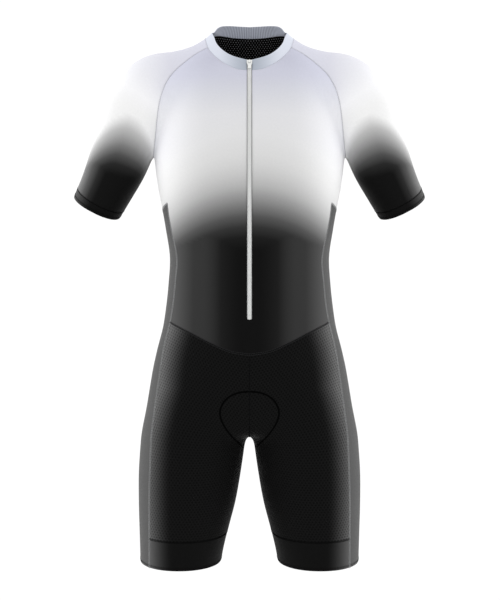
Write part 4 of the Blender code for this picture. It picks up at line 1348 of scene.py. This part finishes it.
zip_line = line_of(*(grid[:, grid.shape[1] // 2] for grid in (collar_grid, *front_grids)))
low = int(np.argmax(zip_line[:, 2] < ZIP_BOTTOM - TAPE_BELOW))
tape_line = onto_figure(along_line(zip_line[: low + 1], TAPE_STEPS), 2)
lines = np.array((*TAPE_LINES, (0, -0.45), *((-x, z) for x, z in TAPE_LINES[::-1])))
tape_grid = onto_figure(tape_line[:, None] + lines[None, :, :1] * (1, 0, 0), 3)
tape_grid = tape_grid + lines[None, :, 1:] * outward(tape_grid)
tape = cloth("zip_tapes", [tape_grid], zip_tape(), "zip_tape", wall=0.9)
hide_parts("zip_tape")

coil_line = zip_line[zip_line[:, 2] > ZIP_BOTTOM + COIL_END_GAP]
rows = int(run_of(coil_line)[-1] / COIL_PITCH)
tooth = block(COIL_LEVELS)
run = run_of(coil_line)
coils = []
for side, shift in ((1, 0.25), (-1, 0.75)):
    at = (np.arange(rows) + shift) * run[-1] / rows
    places = np.stack([np.interp(at, run, coil_line[:, i]) for i in range(3)], axis=-1)
    places = onto_figure(places, 2)
    frames = frames_along(places) * np.array((side, side, 1))[:, None]
    coils.append(repeated(tooth, BLOCK_FACES, places, frames))
coil = add_piece("zip_coil", *merged(*coils), zip_plastic(), "zip_plastic")
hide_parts("zip_chain")

ZIP_METAL = zip_metal()
for node in ("zip_slider", "zip_pull"):
    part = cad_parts[node]
    for material_slot in part.material_slots:
        material_slot.material = ZIP_METAL
    weld = part.modifiers.new("weld", "WELD")
    weld.merge_threshold = METAL_WELD
    bevel = part.modifiers.new("bevel", "BEVEL")
    bevel.width = METAL_BEVEL
    bevel.segments = 2
    bevel.limit_method = "ANGLE"


# Sewing
# The panels are flatlocked: two rows of needle stitches with a looped cover thread between them.
# The hems have twin needle rows, and a cord of stitching shows where the pad is sewn on. The
# cord is painted nearly black, a painted shade of the groove along the pad's edge.

STITCH_PITCH = 3.0
STITCH_LEVELS = ((-0.3, -0.36, 0.36, 1.0), (0.12, -0.36, 0.36, 1.0), (0.3, -0.2, 0.2, 0.7))
COVER_WIDTH = 1.25
COVER_THREAD = 0.24
COVER_RAISED = 0.1
NEEDLE_OFFSET = 1.35
TWIN_NEEDLES = (-0.8, 0.8)
FORK_NEEDLES = (-0.9, 0.9)
FORK_COVER_WIDTH = 0.8
NECK_NEEDLE = 1.4


def thread(name, light, dark):
    """Spun thread in one shade, with a fine twist along it."""
    made, strand, wear = finish(name, Specular_IOR_Level=0.02)
    place = strand.make("ShaderNodeTexCoord", output=3)
    twist = strand.noise(place, 1500.0)
    wear(
        Base_Color=twist.mix(dark, light),
        Roughness=twist.smooth(0.3, 0.7, 0.6, 0.8),
        Normal=strand.bump(twist, 0.00008),
    )
    return made


def needle_rows(line, offsets, pitch=STITCH_PITCH):
    """Rows of short stitches beside a seam, one at each offset."""
    count = max(int(run_of(line)[-1] / pitch), 2)
    places = along_line(line, count)
    frames = frames_along(places)
    stitch = block(STITCH_LEVELS)
    rows = []
    for offset in offsets:
        beside = onto_figure(places + offset * frames[:, 0], 1)
        rows.append(repeated(stitch, BLOCK_FACES, beside, frames))
    return merged(*rows)


def tube(line, across, out, wide, high, sides=6):
    """A closed cord along a line: an ellipse in the across and outward directions at each point."""
    turn = 2 * np.pi * np.arange(sides)[:, None] / sides
    ring = np.cos(turn) * wide * across[:, None] + np.sin(turn) * high * out[:, None]
    points = (line[:, None] + ring).reshape(-1, 3)
    corner = np.arange(len(points)).reshape(-1, sides)
    ahead = np.roll(corner, -1, axis=1)
    faces = np.stack([corner[:-1], corner[1:], ahead[1:], ahead[:-1]], axis=-1).reshape(-1, 4)
    fan = np.arange(1, sides - 2, 2)
    cap = np.stack([0 * fan, fan, fan + 1, fan + 2], axis=-1)
    return points, np.concatenate([faces, cap, corner[-1, 0] + cap[:, (0, 3, 2, 1)]])


def cover_thread(line, pitch=STITCH_PITCH, width=COVER_WIDTH):
    """The looped thread that covers a seam, to and fro between its needle rows."""
    count = max(2 * int(run_of(line)[-1] / pitch), 4)
    places = along_line(line, count)
    frames = frames_along(places)
    sway = width * np.where(np.arange(count + 1) % 2, 1, -1)[:, None]
    path = onto_figure(places + sway * frames[:, 0], 1) + COVER_RAISED * frames[:, 2]
    return tube(path, frames[:, 0], frames[:, 2], COVER_THREAD, COVER_THREAD, sides=4)


def both_sides(points, faces):
    """A mesh of the left half together with the same one of the right half."""
    return merged((points, faces), (mirrored(points), faces[:, ::-1]))


def sewn(name, finish, slot, lines, offsets=(-NEEDLE_OFFSET, NEEDLE_OFFSET), cover=True):
    """The stitching of some seams of the left half and of the right half as one piece."""
    meshes = [needle_rows(line, offsets) for line in lines]
    if cover:
        meshes += [cover_thread(line) for line in lines]
    return add_piece(name, *both_sides(*merged(*meshes)), finish, slot)


PALE_THREAD = thread("pale_thread", colour(214, 215, 220), colour(190, 191, 196))
GREY_THREAD = thread("grey_thread", colour(176, 177, 178), colour(140, 141, 142))
DARK_THREAD = thread("dark_thread", colour(26, 26, 27), colour(16, 16, 17))
LOW_THREAD = thread("low_thread", colour(15, 15, 15), colour(8, 8, 8))
WAIST_THREAD = thread("waist_thread", colour(50, 50, 51), colour(34, 34, 35))
# The pad's cord is stitching painted nearly black, a painted shade of the groove at the pad's edge.
PAD_THREAD_AND_SHADE = thread("pad_thread_and_shade", colour(2, 2, 2), colour(1, 1, 1))

sewn("sewing_raglan", PALE_THREAD, "white_knit", [RAGLAN_FRONT, RAGLAN_BACK], offsets=(0.0,))
sewn("sewing_neck", PALE_THREAD, "collar_knit", [line_of(NECK_FRONT[4:], NECK_SIDE, NECK_BACK)],
     offsets=(NECK_NEEDLE,), cover=False)
sewn("sewing_side_panel", GREY_THREAD, "grey_knit", [
    line_of(SIDE_TOP_FRONT, SIDE_FRONT_UPPER, SIDE_FRONT_LOWER, leg_band[:, 0]),
    line_of(SIDE_TOP_BACK, SIDE_BACK_UPPER, SIDE_BACK_LOWER, leg_band[:, -1]),
])
sewn("sewing_waist", WAIST_THREAD, "black_knit", [V_SEAM, BACK_WAIST])
sewn("sewing_inseam", DARK_THREAD, "black_knit", [INSEAM], offsets=TWIN_NEEDLES)
sewn("sewing_leg_bands", LOW_THREAD, "black_band", [line_of(BAND_FRONT[::-1], BAND_BACK[::-1])])
sewn("sewing_underarm", GREY_THREAD, "white_knit", [SIDE_LINE], offsets=TWIN_NEEDLES)
cuff_line = onto_figure(0.7 * cuff_grid[-1] + 0.3 * cuff_grid[0])
sewn("sewing_hems", LOW_THREAD, "black_band", [leg_band[-2], side_panel[-2], cuff_line, cuff_grid[0]],
     offsets=TWIN_NEEDLES, cover=False)

fork = merged(*(
    mesh for line in (FORK_FRONT, FORK_BACK)
    for mesh in (needle_rows(line, FORK_NEEDLES), cover_thread(line, width=FORK_COVER_WIDTH))
))
add_piece("sewing_fork", *fork, DARK_THREAD, "black_knit")

PAD_STITCHES = ((0, -104.7, -597), (16, -104.5, -598.5), (30, -103.5, -603.5), (41, -102, -612),
                (48, -99.5, -624), (49.5, -96.5, -637), (45, -86, -651), (36, -68, -667),
                *PAD_EDGE[4:], (0, 109, -595))
PAD_SEAM_STEPS = 60
PAD_CORD_WIDTH = 1.5
PAD_CORD_HEIGHT = 0.4
pad_seam = seam(PAD_STITCHES, PAD_SEAM_STEPS)
frames = frames_along(pad_seam)
cord = tube(pad_seam, frames[:, 0], frames[:, 2], PAD_CORD_WIDTH, PAD_CORD_HEIGHT)
add_piece("sewing_pad", *both_sides(*cord), PAD_THREAD_AND_SHADE, "black_knit")


# Floor
# A plain pale floor well below the suit.

FLOOR_HEIGHT = -1400.0
FLOOR_RADIUS = 1440
FLOOR_RIM = 60
FLOOR_THICKNESS = 6
FLOOR_SIDES = 96

turn = np.linspace(0, 2 * np.pi, FLOOR_SIDES + 1)[:-1]
ring = np.stack([np.cos(turn), np.sin(turn), 0 * turn], axis=-1)
floor_points = np.concatenate([(FLOOR_RADIUS + FLOOR_RIM) * ring, FLOOR_RADIUS * ring])
floor_points[:, 2] = FLOOR_HEIGHT
floor_points[:FLOOR_SIDES, 2] -= FLOOR_THICKNESS
step = np.arange(FLOOR_SIDES)
ahead = (step + 1) % FLOOR_SIDES
rim = np.stack([step, ahead, ahead + FLOOR_SIDES, step + FLOOR_SIDES], axis=1)
floor_data = bpy.data.meshes.new("floor")
floor_data.from_pydata(
    (floor_points * MM).tolist(), [], rim.tolist() + [(step + FLOOR_SIDES).tolist()]
)
floor_finish, floor_strand, floor_wear = finish("floor", Roughness=0.9)
mottle = floor_strand.noise(floor_strand.make("ShaderNodeTexCoord", output=3), 40.0)
floor_wear(Base_Color=mottle.mix(colour(236, 236, 235), colour(240, 240, 239)))
floor_data.materials.append(floor_finish)
floor = bpy.data.objects.new("floor", floor_data)
bpy.context.scene.collection.objects.link(floor)
